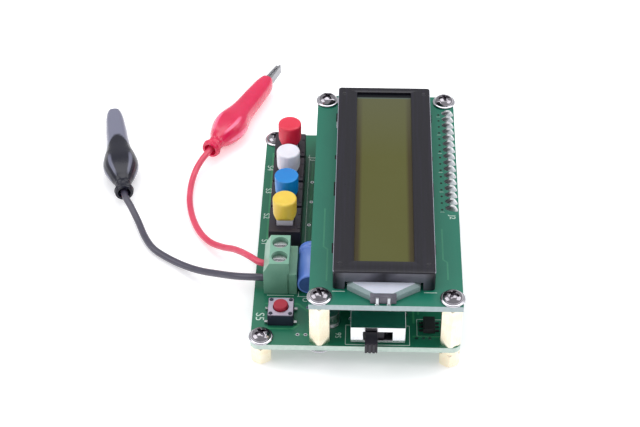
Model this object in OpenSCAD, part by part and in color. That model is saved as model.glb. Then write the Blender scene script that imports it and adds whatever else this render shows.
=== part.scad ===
// Open-frame inductance and capacitance meter: two circuit boards on brass pillars,
// a character display, four latching range buttons and two clip leads.
// Origin: middle of the four leg holes, on the surface that the legs stand on.
// +X runs to the right, +Y away from the user and +Z up. Millimetres.

/* [Boards] */
// Width of the main board
board_w = 50; // [50:0.5:54]
// Depth of both boards
board_d = 80; // [80:0.5:84]
// Thickness of both boards
board_t = 1.6; // [1.2:0.1:1.6]
// Corner radius of the main board
board_r = 2; // [0.5:0.5:2.5]
// Width of the display board
display_w = 36; // [36:0.5:37]
// Distance from a board's edges to its corner holes
hole_inset = 2.5; // [2.5:0.1:3]
// Diameter of the fixing holes in the boards
hole_dia = 3.2; // [3:0.1:3.4]

/* [Pillars] */
// Height of the legs under the main board
leg_h = 5; // [5:0.5:12]
// Height of the pillars between the boards
pillar_h = 12; // [12:0.5:14]
// Size across the flats of the legs and pillars
hex_af = 4.8; // [4.6:0.1:5]
// Diameter of the tapped bores in the legs
tapped_dia = 2.5; // [2.5:0.1:2.6]
// Diameter of the tapped bores in the pillars
pillar_dia = 2.56; // [2:0.02:3]

/* [Display] */
// Width of the display frame
frame_w = 24; // [24:0.2:24.4]
// Depth of the display frame
frame_d = 71.3; // [71:0.1:72]
// Height of the display frame above its board
frame_h = 5.5; // [5.4:0.1:6]
// Width of the display window
window_w = 14.1; // [13.5:0.1:16]
// Depth of the display window
window_d = 65.2; // [64:0.1:66]
// Sheet thickness of the display frame
frame_t = 0.6; // [0.5:0.1:0.8]
// Number of contact pins along the display's right edge
header_pins_n = 16; // [14:2:16]

/* [Range buttons] */
// Distance from one button to the next
button_pitch = 10; // [9.8:0.1:10.2]
// Width of a button's switch housing
switch_w = 8; // [7.8:0.1:8.2]
// Depth of a button's switch housing
switch_d = 9.2; // [8.8:0.1:9.4]
// Height of a button's switch housing
switch_h = 7.5; // [7.2:0.1:8]
// Diameter of a button cap
cap_dia = 6; // [5.6:0.1:6.4]
// Height of a button cap
cap_h = 5.6; // [5:0.1:6]
// Gap under a raised button cap
cap_gap = 1.6; // [1.6:0.1:2]
// How much lower a latched button stands
latch_drop = 1.1; // [0.8:0.1:1.2]

/* [Terminal block] */
// Distance between the two poles
pole_pitch = 5.08; // [5:0.08:5.08]
// Height of the terminal block
terminal_h = 10; // [10:0.2:11]
// Height of the wire entries above the main board
wire_h = 2.9; // [2.9:0.1:3]

/* [Leads and clips] */
// Diameter of the red lead
red_lead_dia = 1.7; // [1.5:0.1:1.8]
// Diameter of the black lead
black_lead_dia = 1.8; // [1.6:0.1:1.8]
// Length of a clip's boot
boot_len = 34.5; // [34:0.5:36]
// How far the red clip stands out of its boot
red_clip_out = 7.3; // [6.5:0.1:8]
// How far the black clip stands out of its boot
black_clip_out = 0.2; // [0:0.1:1]

/* [Hidden] */

$fn = 40;
eps = 0.01;

// Levels
board_z = leg_h;
deck_z = board_z + board_t;
display_z = deck_z + pillar_h;
panel_z = display_z + board_t;

// Plan positions
board_x = board_w / 2;
board_y = board_d / 2;
display_left = board_x - display_w;
display_mid = board_x - display_w / 2;
hole_x = board_x - hole_inset;
hole_y = board_y - hole_inset;
pillar_x = display_left + hole_inset;
frame_mid = display_mid - 0.5;
frame_y = 1;
guide_h = 2.4;
glass_z = panel_z + 2.7;
header_x = board_x - 1.5;
header_pitch = 2.54;
header_far = 32.6;
button_x = -18.1;
button_near = -3.5;
terminal_mid = -17.35;
pole_x = -18.7;
entry_x = -22.6;
tact_x = -18;
tact_y = -30.5;
slide_x = 5.35;
slide_front = -38.9;
slide_travel = 3.2;
clip_z = 3.5;

// Button rows from the nearest to the furthest: how far each one is latched down
yellow_row = 0;
blue_row = 1;
white_row = 2;
red_row = 3;
drops = [0, latch_drop, latch_drop, 0];

// Clips: where the back end of each boot lies and which way it points
red_clip_at = [-40.7, 36.7, clip_z];
red_clip_turn = 66;
black_clip_at = [-62, 18, clip_z];
black_clip_turn = 101.5;
lead_in = 6;

// Routes of the leads' centre lines, from the terminal block to the boots
red_route = [
    [-19.2, -14.81, 9.5], [-20.8, -14.8, 9.5], [-22.4, -14.8, 9.5], [-24.2, -14.2, 9.4],
    [-26.4, -12, 9], [-28.7, -8.9, 7.6], [-31.3, -5.5, 5.6], [-34.6, -2.1, 3.2],
    [-38.1, 1.6, 1.5], [-41.2, 6.2, 0.95], [-43.5, 12, 0.9], [-44.8, 18.6, 0.9],
    [-44.9, 25, 1.1], [-44.1, 29.8, 1.9], [-42.6, 33.2, 3], [-40.9, 36.3, 3.5],
    [-39.48, 39.44, 3.5], [-36.6, 45, 3.5], [-32.86, 50.6, 3.5]
];
black_route = [
    [-19.2, -19.89, 9.5], [-20.8, -19.9, 9.5], [-22.4, -19.9, 9.5], [-24.4, -19.7, 9.4],
    [-27.2, -19, 8.8], [-30.4, -17.4, 7.5], [-34.6, -14.4, 5.3], [-39.6, -10.8, 2.9],
    [-44.4, -7.2, 1.4], [-49, -3.8, 0.95], [-52.6, -0.6, 0.95], [-55.2, 3.8, 0.95],
    [-57.4, 9, 1.4], [-59.7, 13.4, 2.6], [-61.7, 17, 3.4], [-62.6, 20.94, 3.5],
    [-62.9, 24, 3.5], [-62.6, 26.8, 3.5]
];

// Boot: distance from its back end, half width and half height of the outside, the same
// for the inside, and how square the ring is (1 is an ellipse)
boot_rings = [
    [0, 2.3, 2.3, 1.7, 1.7, 1], [0.7, 2.5, 2.5, 1.6, 1.6, 1], [1.5, 2.4, 2.4, 1.2, 1.2, 1],
    [2.3, 2, 2, 0.85, 0.85, 1], [3.6, 2, 1.95, 0.85, 0.85, 1], [5, 2.5, 2.2, 1.7, 1.6, 0.9],
    [6.5, 3.2, 2.7, 2.7, 2.2, 0.8], [9.5, 4.2, 3.2, 3.7, 2.75, 0.7],
    [12, 4.5, 3.4, 4.05, 2.95, 0.7], [14.5, 4.2, 3.3, 3.75, 2.85, 0.7],
    [17.5, 3.4, 3, 2.95, 2.55, 0.7], [21, 3, 2.75, 2.55, 2.3, 0.7],
    [26, 2.8, 2.6, 2.35, 2.15, 0.7], [31, 2.5, 2.45, 2.05, 2, 0.7],
    [33.4, 2.15, 2.3, 1.7, 1.85, 0.7], [34.5, 1.75, 2.2, 1.35, 1.8, 0.7]
];
boot_sides = 20;

// ---- shared shapes ----

// A box from its lowest corner to its highest
module block(low, high) {
    translate(low) cube(high - low);
}

// A flat rectangle with round corners, centred on the origin
module rounded_plate(w, d, t, r) {
    linear_extrude(t) union() {
        square([w - 2 * r, d], center = true);
        square([w, d - 2 * r], center = true);
        for (x = [-1, 1], y = [-1, 1])
            translate([x * (w / 2 - r), y * (d / 2 - r)]) circle(r);
    }
}

// A hexagonal column whose end corners are turned down
module hex_column(h, bore) {
    corner_r = hex_af / sqrt(3);
    end_r = hex_af / 2 + 0.05;
    chamfer = corner_r - end_r;
    difference() {
        intersection() {
            rotate([0, 0, 30]) cylinder(r = corner_r, h = h, $fn = 6);
            rotate_extrude() polygon([
                [0, 0], [end_r, 0], [corner_r, chamfer], [corner_r, h - chamfer],
                [end_r, h], [0, h]
            ]);
        }
        if (bore > 0) translate([0, 0, -eps]) cylinder(d = bore, h = h + 2 * eps);
    }
}

// A pan-head screw with a washer face, standing on z = 0 with its shank below
module pan_screw(shank) {
    difference() {
        union() {
            rotate_extrude() polygon(concat(
                [[0, 0], [2.95, 0], [2.95, 0.5], [2.45, 0.6]],
                [for (a = [10 : 10 : 80]) [2.45 * cos(a), 0.6 + 1.5 * sin(a)]],
                [[0, 2.1]]
            ));
            translate([0, 0, -shank]) cylinder(r = 1.2, h = shank + eps);
        }
        for (a = [0, 90]) rotate([0, 0, a]) translate([-1.45, -0.3, 1]) cube([2.9, 0.6, 2]);
    }
}

// ---- boards, pillars and fasteners ----

module main_board() {
    color([0.22, 0.47, 0.39]) difference() {
        translate([0, 0, board_z]) rounded_plate(board_w, board_d, board_t, board_r);
        for (y = [-hole_y, hole_y], x = [-hole_x, pillar_x, hole_x])
            translate([x, y, board_z - eps]) cylinder(d = hole_dia, h = board_t + 2 * eps);
    }
}

module display_board() {
    color([0.15, 0.46, 0.38]) difference() {
        block([display_left, -board_y, display_z], [board_x, board_y, panel_z]);
        for (y = [-hole_y, hole_y], x = [pillar_x, hole_x])
            translate([x, y, display_z - eps]) cylinder(d = hole_dia, h = board_t + 2 * eps);
        for (i = [0 : header_pins_n - 1])
            translate([header_x, header_far - i * header_pitch, display_z - eps])
                cylinder(d = 1, h = board_t + 2 * eps);
    }
}

module pillars() {
    color([0.85, 0.76, 0.52])
        for (y = [-hole_y, hole_y], x = [pillar_x, hole_x])
            translate([x, y, deck_z]) hex_column(pillar_h, pillar_dia);
}

// The two right-hand legs carry a stud that passes up into the pillar above. The two left-hand
// legs are bored from both ends, with a web between their two screws
module legs() {
    stud_reach = board_t + 3;
    leg_web = leg_h - 2.2;
    color([0.85, 0.76, 0.52]) {
        for (y = [-hole_y, hole_y]) translate([-hole_x, y, 0]) difference() {
            hex_column(leg_h, 0);
            translate([0, 0, -eps]) cylinder(d = tapped_dia, h = leg_web + eps);
            translate([0, 0, leg_web + 0.4]) cylinder(d = pillar_dia, h = leg_h);
        }
        for (y = [-hole_y, hole_y]) translate([hole_x, y, 0]) {
            hex_column(leg_h - 1, tapped_dia);
            translate([0, 0, leg_h - 1 - eps]) intersection() {
                rotate([0, 0, 30]) cylinder(r = hex_af / sqrt(3), h = 1 + eps, $fn = 6);
                cylinder(r = hex_af / 2 + 0.05, h = 1 + eps);
            }
            translate([0, 0, leg_h - eps]) cylinder(r = 1.2, h = stud_reach + eps);
        }
    }
}

// Four on the display, two on the left corners and two up from below
module board_screws() {
    color([0.75, 0.75, 0.76]) {
        for (y = [-hole_y, hole_y], x = [pillar_x, hole_x])
            translate([x, y, panel_z]) pan_screw(board_t + 3);
        for (y = [-hole_y, hole_y]) translate([-hole_x, y, deck_z]) pan_screw(board_t + 1.6);
        for (y = [-hole_y, hole_y])
            translate([pillar_x, y, board_z]) mirror([0, 0, 1]) pan_screw(board_t + 3);
    }
}

// ---- display module ----

module display_frame() {
    foot_w = 2.8;
    notch_h = guide_h + 0.05;
    color([0.1, 0.1, 0.12]) translate([frame_mid, frame_y, panel_z]) difference() {
        rounded_plate(frame_w, frame_d, frame_h, 0.8);
        translate([0, 0, -eps])
            rounded_plate(frame_w - 2 * frame_t, frame_d - 2 * frame_t,
                frame_h - frame_t + eps, 0.3);
        translate([-window_w / 2 - 0.05, -window_d / 2 + 0.9, frame_h - frame_t - eps])
            cube([window_w, window_d, frame_t + 2 * eps]);
        translate([foot_w - frame_w / 2, -frame_d / 2 - 1, -eps])
            cube([frame_w - 2 * foot_w, 3, notch_h + eps]);
    }
}

module display_glass() {
    color([0.36, 0.37, 0.2]) block(
        [frame_mid - 11.2, frame_y - 34.6, glass_z],
        [frame_mid + 11.2, frame_y + 34.6, panel_z + frame_h - frame_t]
    );
}

// White light-spreading block with a tapered tongue that comes out under the frame
module light_guide() {
    tongue_y = slide_front + 0.5;
    color([0.86, 0.9, 0.9]) translate([0, 0, panel_z]) union() {
        block([frame_mid - 8.8, frame_y - 34.4, 0], [frame_mid + 8.8, frame_y + 34, guide_h]);
        linear_extrude(guide_h) polygon([
            [frame_mid - 7.5, -34.9], [frame_mid + 6.8, -34.9],
            [frame_mid + 2.9, tongue_y], [frame_mid - 3.2, tongue_y]
        ]);
        block([frame_mid - 7.5, -35, 0], [frame_mid + 6.8, -33, guide_h]);
    }
}

module light_source() {
    block_front = -39.2;
    color([0.62, 0.66, 0.68]) translate([0, 0, panel_z]) union() {
        block([frame_mid - 3.2, block_front, 0], [frame_mid + 2.9, slide_front + 0.5, guide_h]);
        for (x = [-1.55, 1.15])
            block([frame_mid + x - 0.35, -39.9, 0], [frame_mid + x + 0.35, block_front + eps, 0.3]);
    }
}

module contact_strips() {
    color([0.75, 0.5, 0.55]) for (side = [-1, 1])
        translate([frame_mid + side * 10.1 - 0.9, frame_y - 32, panel_z])
            cube([1.8, 64, glass_z - panel_z]);
}

// ---- board to board connector ----

module header_pins() {
    color([0.8, 0.72, 0.45]) for (i = [0 : header_pins_n - 1])
        translate([header_x - 0.32, header_far - i * header_pitch - 0.32, deck_z + 2.6])
            cube([0.64, 0.64, pillar_h + board_t - 2.6 + 1]);
}

module pin_holes(size, z, h) {
    for (i = [0 : header_pins_n - 1])
        translate([header_x - size / 2, header_far - i * header_pitch - size / 2, z])
            cube([size, size, h]);
}

module header_strip() {
    length = header_pins_n * header_pitch;
    color([0.08, 0.08, 0.09]) difference() {
        block(
            [header_x - 1.25, header_far + 1.27 - length, display_z - 2.5],
            [header_x + 1.25, header_far + 1.27, display_z]
        );
        pin_holes(0.64, display_z - 3, 4);
    }
}

module header_socket() {
    length = header_pins_n * header_pitch;
    color([0.08, 0.08, 0.09]) difference() {
        block(
            [header_x - 1.25, header_far + 1.27 - length, deck_z],
            [header_x + 1.25, header_far + 1.27, deck_z + 8.5]
        );
        pin_holes(1, deck_z + 2, 8);
    }
}

// ---- range buttons ----

function button_y(row) = button_near + row * button_pitch;
stem_w = 4.1;
stem_gap = 0.15;
stem_grip = 3;

module switch_body(row) {
    well = stem_w + 2 * stem_gap;
    color([0.14, 0.14, 0.17]) translate([button_x, button_y(row), deck_z]) difference() {
        translate([-switch_w / 2, -switch_d / 2, 0]) cube([switch_w, switch_d, switch_h]);
        translate([-well / 2, -well / 2, 1]) cube([well, well, switch_h]);
    }
}

module switch_stem(row) {
    top = switch_h + cap_gap + stem_grip;
    color([0.9, 0.9, 0.93]) translate([button_x, button_y(row), deck_z - drops[row]])
        translate([-stem_w / 2, -stem_w / 2, 2.8]) cube([stem_w, stem_w, top - 2.8]);
}

module cap(row, tint) {
    r = cap_dia / 2;
    edge = 0.6;
    color(tint) translate([button_x, button_y(row), deck_z + switch_h + cap_gap - drops[row]])
        difference() {
            rotate_extrude() polygon(concat(
                [[0, 0], [r - 0.25, 0], [r, 0.25]],
                [for (a = [0 : 15 : 90]) [r - edge + edge * cos(a), cap_h - edge + edge * sin(a)]],
                [[0, cap_h]]
            ));
            translate([-stem_w / 2, -stem_w / 2, -eps]) cube([stem_w, stem_w, stem_grip + eps]);
        }
}

module yellow_switch_body() { switch_body(yellow_row); }
module blue_switch_body() { switch_body(blue_row); }
module white_switch_body() { switch_body(white_row); }
module red_switch_body() { switch_body(red_row); }
module yellow_switch_stem() { switch_stem(yellow_row); }
module blue_switch_stem() { switch_stem(blue_row); }
module white_switch_stem() { switch_stem(white_row); }
module red_switch_stem() { switch_stem(red_row); }
module yellow_cap() { cap(yellow_row, [0.93, 0.8, 0.3]); }
module blue_cap() { cap(blue_row, [0.15, 0.5, 0.85]); }
module white_cap() { cap(white_row, [0.92, 0.92, 0.95]); }
module red_cap() { cap(red_row, [0.88, 0.2, 0.3]); }

// ---- terminal block with rising cages ----

function pole_y(side) = terminal_mid + side * pole_pitch / 2;
red_pole = 1;
black_pole = -1;
terminal_d = 10.4;
cage_low = 1.4;
cage_high = 6.5;

module terminal_housing() {
    far_y = terminal_mid + terminal_d / 2;
    color([0.42, 0.62, 0.5]) difference() {
        translate([0, far_y, deck_z]) rotate([90, 0, 0]) linear_extrude(terminal_d) polygon([
            [entry_x, 0], [-14.5, 0], [-14.5, 6.5], [-16.3, 6.5],
            [-16.3, terminal_h], [-21.1, terminal_h], [entry_x, 7]
        ]);
        for (side = [red_pole, black_pole]) translate([pole_x, pole_y(side), deck_z]) {
            translate([0, 0, 7.6]) cylinder(r = 1.95, h = terminal_h);
            translate([0, 0, 5]) cylinder(r = 1.35, h = terminal_h);
            translate([-2.3, -2.15, 0.3]) cube([4.5, 4.3, 6.4]);
            translate([-5, 0, wire_h]) rotate([0, 90, 0]) cylinder(r = 1.5, h = 4);
        }
        block([-16.75, -30, deck_z - eps], [-16.35, terminal_mid - terminal_d / 2 + 0.25, 13.2]);
    }
}

module terminal_contacts() {
    color([0.8, 0.8, 0.78])
        for (side = [red_pole, black_pole]) translate([pole_x, pole_y(side), deck_z]) union() {
            translate([-1.8, -1.1, 3.85]) cube([3.95, 2.2, 0.5]);
            translate([1.65, -1.1, 0.3]) cube([0.5, 2.2, 4.05]);
        }
}

module terminal_screw(side) {
    color([0.78, 0.78, 0.78]) translate([pole_x, pole_y(side), deck_z]) difference() {
        union() {
            translate([0, 0, 7.6]) cylinder(r = 1.75, h = 1.3);
            translate([0, 0, 4.7]) cylinder(r = 1.2, h = 3);
        }
        translate([-2, -0.3, 8.3]) cube([4, 0.6, 1]);
    }
}

module terminal_cage(side) {
    color([0.8, 0.8, 0.78]) translate([pole_x, pole_y(side), deck_z]) difference() {
        translate([-1.7, -2, cage_low]) cube([3.1, 4, cage_high - cage_low]);
        translate([-3, -1.6, cage_low + 0.5]) cube([6, 3.2, 3.7]);
        translate([0, 0, cage_high - 2]) cylinder(r = 1.25, h = 3);
    }
}

module red_terminal_screw() { terminal_screw(red_pole); }
module black_terminal_screw() { terminal_screw(black_pole); }
module red_terminal_cage() { terminal_cage(red_pole); }
module black_terminal_cage() { terminal_cage(black_pole); }

// ---- function button ----

tact_w = 6.2;

module tact_base() {
    color([0.12, 0.12, 0.14]) translate([tact_x, tact_y, deck_z]) difference() {
        union() {
            translate([-tact_w / 2, -tact_w / 2, 0.1]) cube([tact_w, tact_w, 3.1]);
            for (x = [-2.35, 2.35], y = [-2.35, 2.35])
                translate([x, y, 3]) cylinder(r = 0.45, h = 0.65);
        }
        translate([0, 0, 1.2]) cylinder(r = 2.2, h = 3);
    }
}

module tact_cover() {
    color([0.8, 0.8, 0.82]) translate([tact_x, tact_y, deck_z + 3.2]) difference() {
        rounded_plate(6, 6, 0.3, 0.4);
        translate([0, 0, -eps]) cylinder(r = 1.9, h = 1);
        for (x = [-2.35, 2.35], y = [-2.35, 2.35])
            translate([x, y, -eps]) cylinder(r = 0.5, h = 1);
    }
}

module tact_plunger() {
    color([0.8, 0.16, 0.28]) translate([tact_x, tact_y, deck_z]) rotate_extrude() polygon([
        [0, 1.7], [1.95, 1.7], [1.95, 2.9], [1.75, 3], [1.75, 4.3], [1.55, 4.5], [0, 4.5]
    ]);
}

module tact_legs() {
    color([0.8, 0.8, 0.82]) for (side = [-1, 1], y = [-2.25, 2.25])
        translate([tact_x, tact_y + y, deck_z]) union() {
            block([side > 0 ? 3.1 : -3.9, -0.35, 0.5], [side > 0 ? 3.9 : -3.1, 0.35, 0.75]);
            block([side > 0 ? 3.65 : -3.9, -0.35, 0], [side > 0 ? 3.9 : -3.65, 0.35, 0.75]);
        }
}

// ---- power slide switch ----

shell_w = 13.1;
shell_d = 5.8;
shell_h = 5.2;
lever_w = 3;
lever_left = slide_x - lever_w / 2 - slide_travel / 2;

module power_switch_shell() {
    wall = 0.4;
    color([0.85, 0.85, 0.87]) difference() {
        block([slide_x - shell_w / 2, slide_front, deck_z + 0.3],
            [slide_x + shell_w / 2, slide_front + shell_d, deck_z + shell_h]);
        block([slide_x - shell_w / 2 + wall, slide_front + wall, deck_z],
            [slide_x + shell_w / 2 - wall, slide_front + shell_d - wall, deck_z + shell_h - wall]);
        block([slide_x - 3.4, slide_front - 1, deck_z + 0.9],
            [slide_x + 3.4, slide_front + 1, deck_z + 3.7]);
    }
}

module power_switch_base() {
    color([0.1, 0.1, 0.11]) block(
        [slide_x - shell_w / 2 + 0.45, slide_front + 0.45, deck_z],
        [slide_x + shell_w / 2 - 0.45, slide_front + shell_d - 0.45, deck_z + 0.6]
    );
}

module power_switch_lever() {
    reach = 4.5;
    rib_gap = 0.7;
    color([0.13, 0.12, 0.15]) difference() {
        union() {
            block([lever_left, slide_front - reach, deck_z + 1.2],
                [lever_left + lever_w, slide_front + 1.5, deck_z + 3.5]);
            block([lever_left - 1.6, slide_front + 0.7, deck_z + 0.9],
                [lever_left + lever_w + 1.6, slide_front + 4.6, deck_z + 4.2]);
            block([lever_left, slide_front - reach, deck_z + 1.2],
                [lever_left + lever_w, slide_front - 0.3, deck_z + 4.1]);
        }
        for (i = [0 : 2])
            translate([lever_left + 0.55 + i * rib_gap + i * 0.25, slide_front - reach - eps, deck_z])
                cube([0.3, 0.3, 6]);
    }
}

// ---- other parts on the main board ----

// Round capacitor lying on its side along Y, its leads bent down at the far end
module blue_capacitor() {
    r = 3.05;
    near = -22.5;
    far = -9.6;
    color([0.3, 0.42, 0.78]) translate([-11.35, 0, deck_z + r]) union() {
        translate([0, near, 0]) rotate([-90, 0, 0]) rotate_extrude() polygon([
            [0, 0.1], [r - 0.6, 0.1], [r - 0.5, 0], [r - 0.3, 0], [r, 0.3], [r, far - near - 2.6],
            [r - 0.35, far - near - 2.2], [r - 0.35, far - near - 1.8], [r, far - near - 1.4],
            [r, far - near - 0.3], [r - 0.3, far - near], [0, far - near]
        ]);
        for (x = [-1.25, 1.25]) {
            translate([x, far - eps, 0]) rotate([-90, 0, 0]) cylinder(r = 0.3, h = 1.3);
            translate([x, far + 1.29, -r]) cylinder(r = 0.3, h = r);
        }
    }
}

// A chip body with rows of leads on its left and right, and also front and back if square
module chip(w, d, h, n, pitch, four_sides) {
    translate([-w / 2, -d / 2, 0.15]) cube([w, d, h - 0.15]);
    for (side = [-1, 1], i = [0 : n - 1]) {
        at = (i - (n - 1) / 2) * pitch;
        translate([side * (w / 2 + 0.45), at, 0.2]) cube([1.1, pitch * 0.4, 0.3], center = true);
        if (four_sides)
            translate([at, side * (d / 2 + 0.45), 0.2]) cube([pitch * 0.4, 1.1, 0.3], center = true);
    }
}

module microcontroller() {
    color([0.12, 0.12, 0.13]) translate([7, 2, deck_z]) union() chip(10, 10, 1.6, 11, 0.8, true);
}

module comparator_chip() {
    color([0.12, 0.12, 0.13]) translate([-5.5, -10, deck_z]) union() chip(3.9, 5, 1.6, 4, 1.27, false);
}

module regulator_chip() {
    color([0.12, 0.12, 0.13]) translate([17.6, -33.2, deck_z]) union() chip(2.8, 4.4, 1.5, 3, 1.27, false);
}

module crystal() {
    color([0.76, 0.76, 0.74]) translate([-6.05, -28.9, deck_z]) union() {
        linear_extrude(0.5) union() {
            square([4.7, 6.4], center = true);
            for (side = [-1, 1]) translate([0, side * 3.2]) circle(d = 4.7);
        }
        linear_extrude(3.6) union() {
            square([3.9, 6.2], center = true);
            for (side = [-1, 1]) translate([0, side * 3.1]) circle(d = 3.9);
        }
    }
}

module resistors() {
    color([0.55, 0.3, 0.22]) for (i = [0 : 2]) translate([3.5, -30.8 + i * 3, deck_z + 1.2]) union() {
        translate([-3, 0, 0]) rotate([0, 90, 0]) cylinder(r = 1.1, h = 6);
        translate([-4.5, 0, 0]) rotate([0, 90, 0]) cylinder(r = 0.25, h = 9);
        for (side = [-1, 1]) translate([side * 4.5, 0, -1.2]) cylinder(r = 0.25, h = 1.45);
    }
}

module trimmer_body() {
    color([0.2, 0.35, 0.7]) translate([-5, 27, deck_z]) difference() {
        translate([-3.3, -3.3, 0.2]) cube([6.6, 6.6, 3.8]);
        translate([0, 0, 2]) cylinder(r = 1.9, h = 3);
    }
}

module trimmer_rotor() {
    color([0.85, 0.8, 0.65]) translate([-5, 27, deck_z]) difference() {
        translate([0, 0, 2.05]) cylinder(r = 1.82, h = 1.95);
        translate([-1.4, -0.25, 3.3]) cube([2.8, 0.5, 1]);
    }
}

module power_socket() {
    color([0.78, 0.78, 0.79]) translate([4, board_y - 4, deck_z]) union() {
        difference() {
            translate([-3.85, -4.6, 0]) cube([7.7, 9.4, 3.9]);
            translate([-3.4, -3.6, 0.45]) cube([6.8, 9, 3]);
        }
        translate([-2.6, -3.7, 1.6]) cube([5.2, 7, 0.8]);
    }
}

// ---- leads ----

// Point at parameter u on a smooth curve through the points p, from p[i] to p[i + 1]
function curve(p, i, u) =
    let (a = p[max(i - 1, 0)], b = p[i], c = p[i + 1], d = p[min(i + 2, len(p) - 1)])
    0.5 * (2 * b + (c - a) * u + (2 * a - 5 * b + 4 * c - d) * u * u
        + (3 * b - a - 3 * c + d) * u * u * u);
function unit(v) = v / norm(v);
function centre_line(p, steps) = concat(
    [for (i = [0 : len(p) - 2], k = [0 : steps - 1]) curve(p, i, k / steps)],
    [p[len(p) - 1]]
);

// A round tube of eight sides swept along the route
module lead(route, r) {
    line = centre_line(route, 2);
    n = len(line);
    sides = 8;
    points = [for (i = [0 : n - 1])
        let (
            ahead = unit(line[min(i + 1, n - 1)] - line[max(i - 1, 0)]),
            across = unit(cross(ahead, [0, 0, 1])),
            above = cross(across, ahead)
        )
        for (k = [0 : sides - 1])
            line[i] + r * (cos(k * 360 / sides) * across + sin(k * 360 / sides) * above)
    ];
    polyhedron(points, concat(
        [[for (k = [0 : sides - 1]) k]],
        [for (i = [0 : n - 2], k = [0 : sides - 1]) [
            i * sides + k, (i + 1) * sides + k,
            (i + 1) * sides + (k + 1) % sides, i * sides + (k + 1) % sides
        ]],
        [[for (k = [sides - 1 : -1 : 0]) (n - 1) * sides + k]]
    ));
}

module red_lead() { color([0.92, 0.3, 0.45]) lead(red_route, red_lead_dia / 2); }
module black_lead() { color([0.2, 0.2, 0.25]) lead(black_route, black_lead_dia / 2); }

// ---- crocodile clips, each drawn along +X from the back end of its boot ----

module at_clip(place, turn) {
    translate(place) rotate([0, 0, turn]) children();
}

function squared(v, p) = sign(v) * pow(abs(v), p);

// Soft sleeve: an outer skin and an inner skin joined at both ends
module boot() {
    n = len(boot_rings);
    rings = concat(
        [for (g = boot_rings) [g[0], g[1], g[2], g[5]]],
        [for (i = [n - 1 : -1 : 0]) let (g = boot_rings[i]) [g[0], g[3], g[4], g[5]]]
    );
    m = len(rings);
    points = [for (ring = rings, k = [0 : boot_sides - 1]) [
        ring[0] * boot_len / 34.5,
        ring[1] * squared(cos(k * 360 / boot_sides), ring[3]),
        ring[2] * squared(sin(k * 360 / boot_sides), ring[3])
    ]];
    polyhedron(points, [for (i = [0 : m - 1], k = [0 : boot_sides - 1]) [
        i * boot_sides + k, i * boot_sides + (k + 1) % boot_sides,
        ((i + 1) % m) * boot_sides + (k + 1) % boot_sides, ((i + 1) % m) * boot_sides + k
    ]]);
}

jaw_len = 16.5;
handle_len = 9.5;
pin_r = 0.55;

// One half of a clip about its pivot at the origin, its teeth facing +Y
module clip_half(half_width, bore_r) {
    sheet = 0.3;
    teeth = [for (i = [0 : 5]) for (p = [[-1.4, -0.15], [-2.1, -0.5]]) [jaw_len + p[0] - i * 1.5, p[1]]];
    difference() {
        translate([0, 0, -half_width]) linear_extrude(2 * half_width) polygon(concat(
            [[jaw_len, -0.75], [jaw_len, -0.15]], teeth,
            [[5, -0.5], [2, 0.9], [-1.2, 0.9], [-2, -0.5], [-handle_len, -1.8],
            [-handle_len, -2.4], [-2, -1.5], [3, -1.5], [9, -1.15]]
        ));
        translate([0, 0, sheet - half_width]) linear_extrude(2 * (half_width - sheet)) polygon([
            [jaw_len - 0.6, 1], [jaw_len - 0.6, -0.45], [9, -0.8], [3, -1.15], [-2, -1.15],
            [-handle_len - 1, -2.15], [-handle_len - 1, 1]
        ]);
        cylinder(r = bore_r, h = 8, center = true);
    }
}

function pivot_at(out) = boot_len + out - jaw_len;

module clip_frame(out) {
    translate([pivot_at(out), 0, 0]) clip_half(1.3, pin_r);
}

module clip_jaw(out) {
    translate([pivot_at(out), 0, 0]) mirror([0, 1, 0]) clip_half(0.9, pin_r + 0.05);
}

module clip_pin(out) {
    translate([pivot_at(out), 0, 0]) cylinder(r = pin_r, h = 3, center = true);
}

// Coil round the pin with one leg resting on the fixed handle
module clip_spring(out) {
    translate([pivot_at(out), 0, 0]) union() {
        difference() {
            cylinder(r = 0.8, h = 1, center = true);
            cylinder(r = pin_r, h = 2, center = true);
        }
        translate([0, 0, -0.5]) linear_extrude(0.3) polygon([
            [0, -0.8], [0, -0.58], [-5, -1.2], [-5, -1.43]
        ]);
    }
}

module red_boot() { color([0.85, 0.15, 0.32]) at_clip(red_clip_at, red_clip_turn) boot(); }
module black_boot() { color([0.2, 0.2, 0.24]) at_clip(black_clip_at, black_clip_turn) boot(); }
module red_clip_frame() { color([0.7, 0.7, 0.71]) at_clip(red_clip_at, red_clip_turn) clip_frame(red_clip_out); }
module red_clip_jaw() { color([0.7, 0.7, 0.71]) at_clip(red_clip_at, red_clip_turn) clip_jaw(red_clip_out); }
module red_clip_pin() { color([0.7, 0.7, 0.71]) at_clip(red_clip_at, red_clip_turn) clip_pin(red_clip_out); }
module red_clip_spring() { color([0.7, 0.7, 0.71]) at_clip(red_clip_at, red_clip_turn) clip_spring(red_clip_out); }
module black_clip_frame() { color([0.7, 0.7, 0.71]) at_clip(black_clip_at, black_clip_turn) clip_frame(black_clip_out); }
module black_clip_jaw() { color([0.7, 0.7, 0.71]) at_clip(black_clip_at, black_clip_turn) clip_jaw(black_clip_out); }
module black_clip_pin() { color([0.7, 0.7, 0.71]) at_clip(black_clip_at, black_clip_turn) clip_pin(black_clip_out); }
module black_clip_spring() { color([0.7, 0.7, 0.71]) at_clip(black_clip_at, black_clip_turn) clip_spring(black_clip_out); }

// ---- assembly ----

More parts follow.
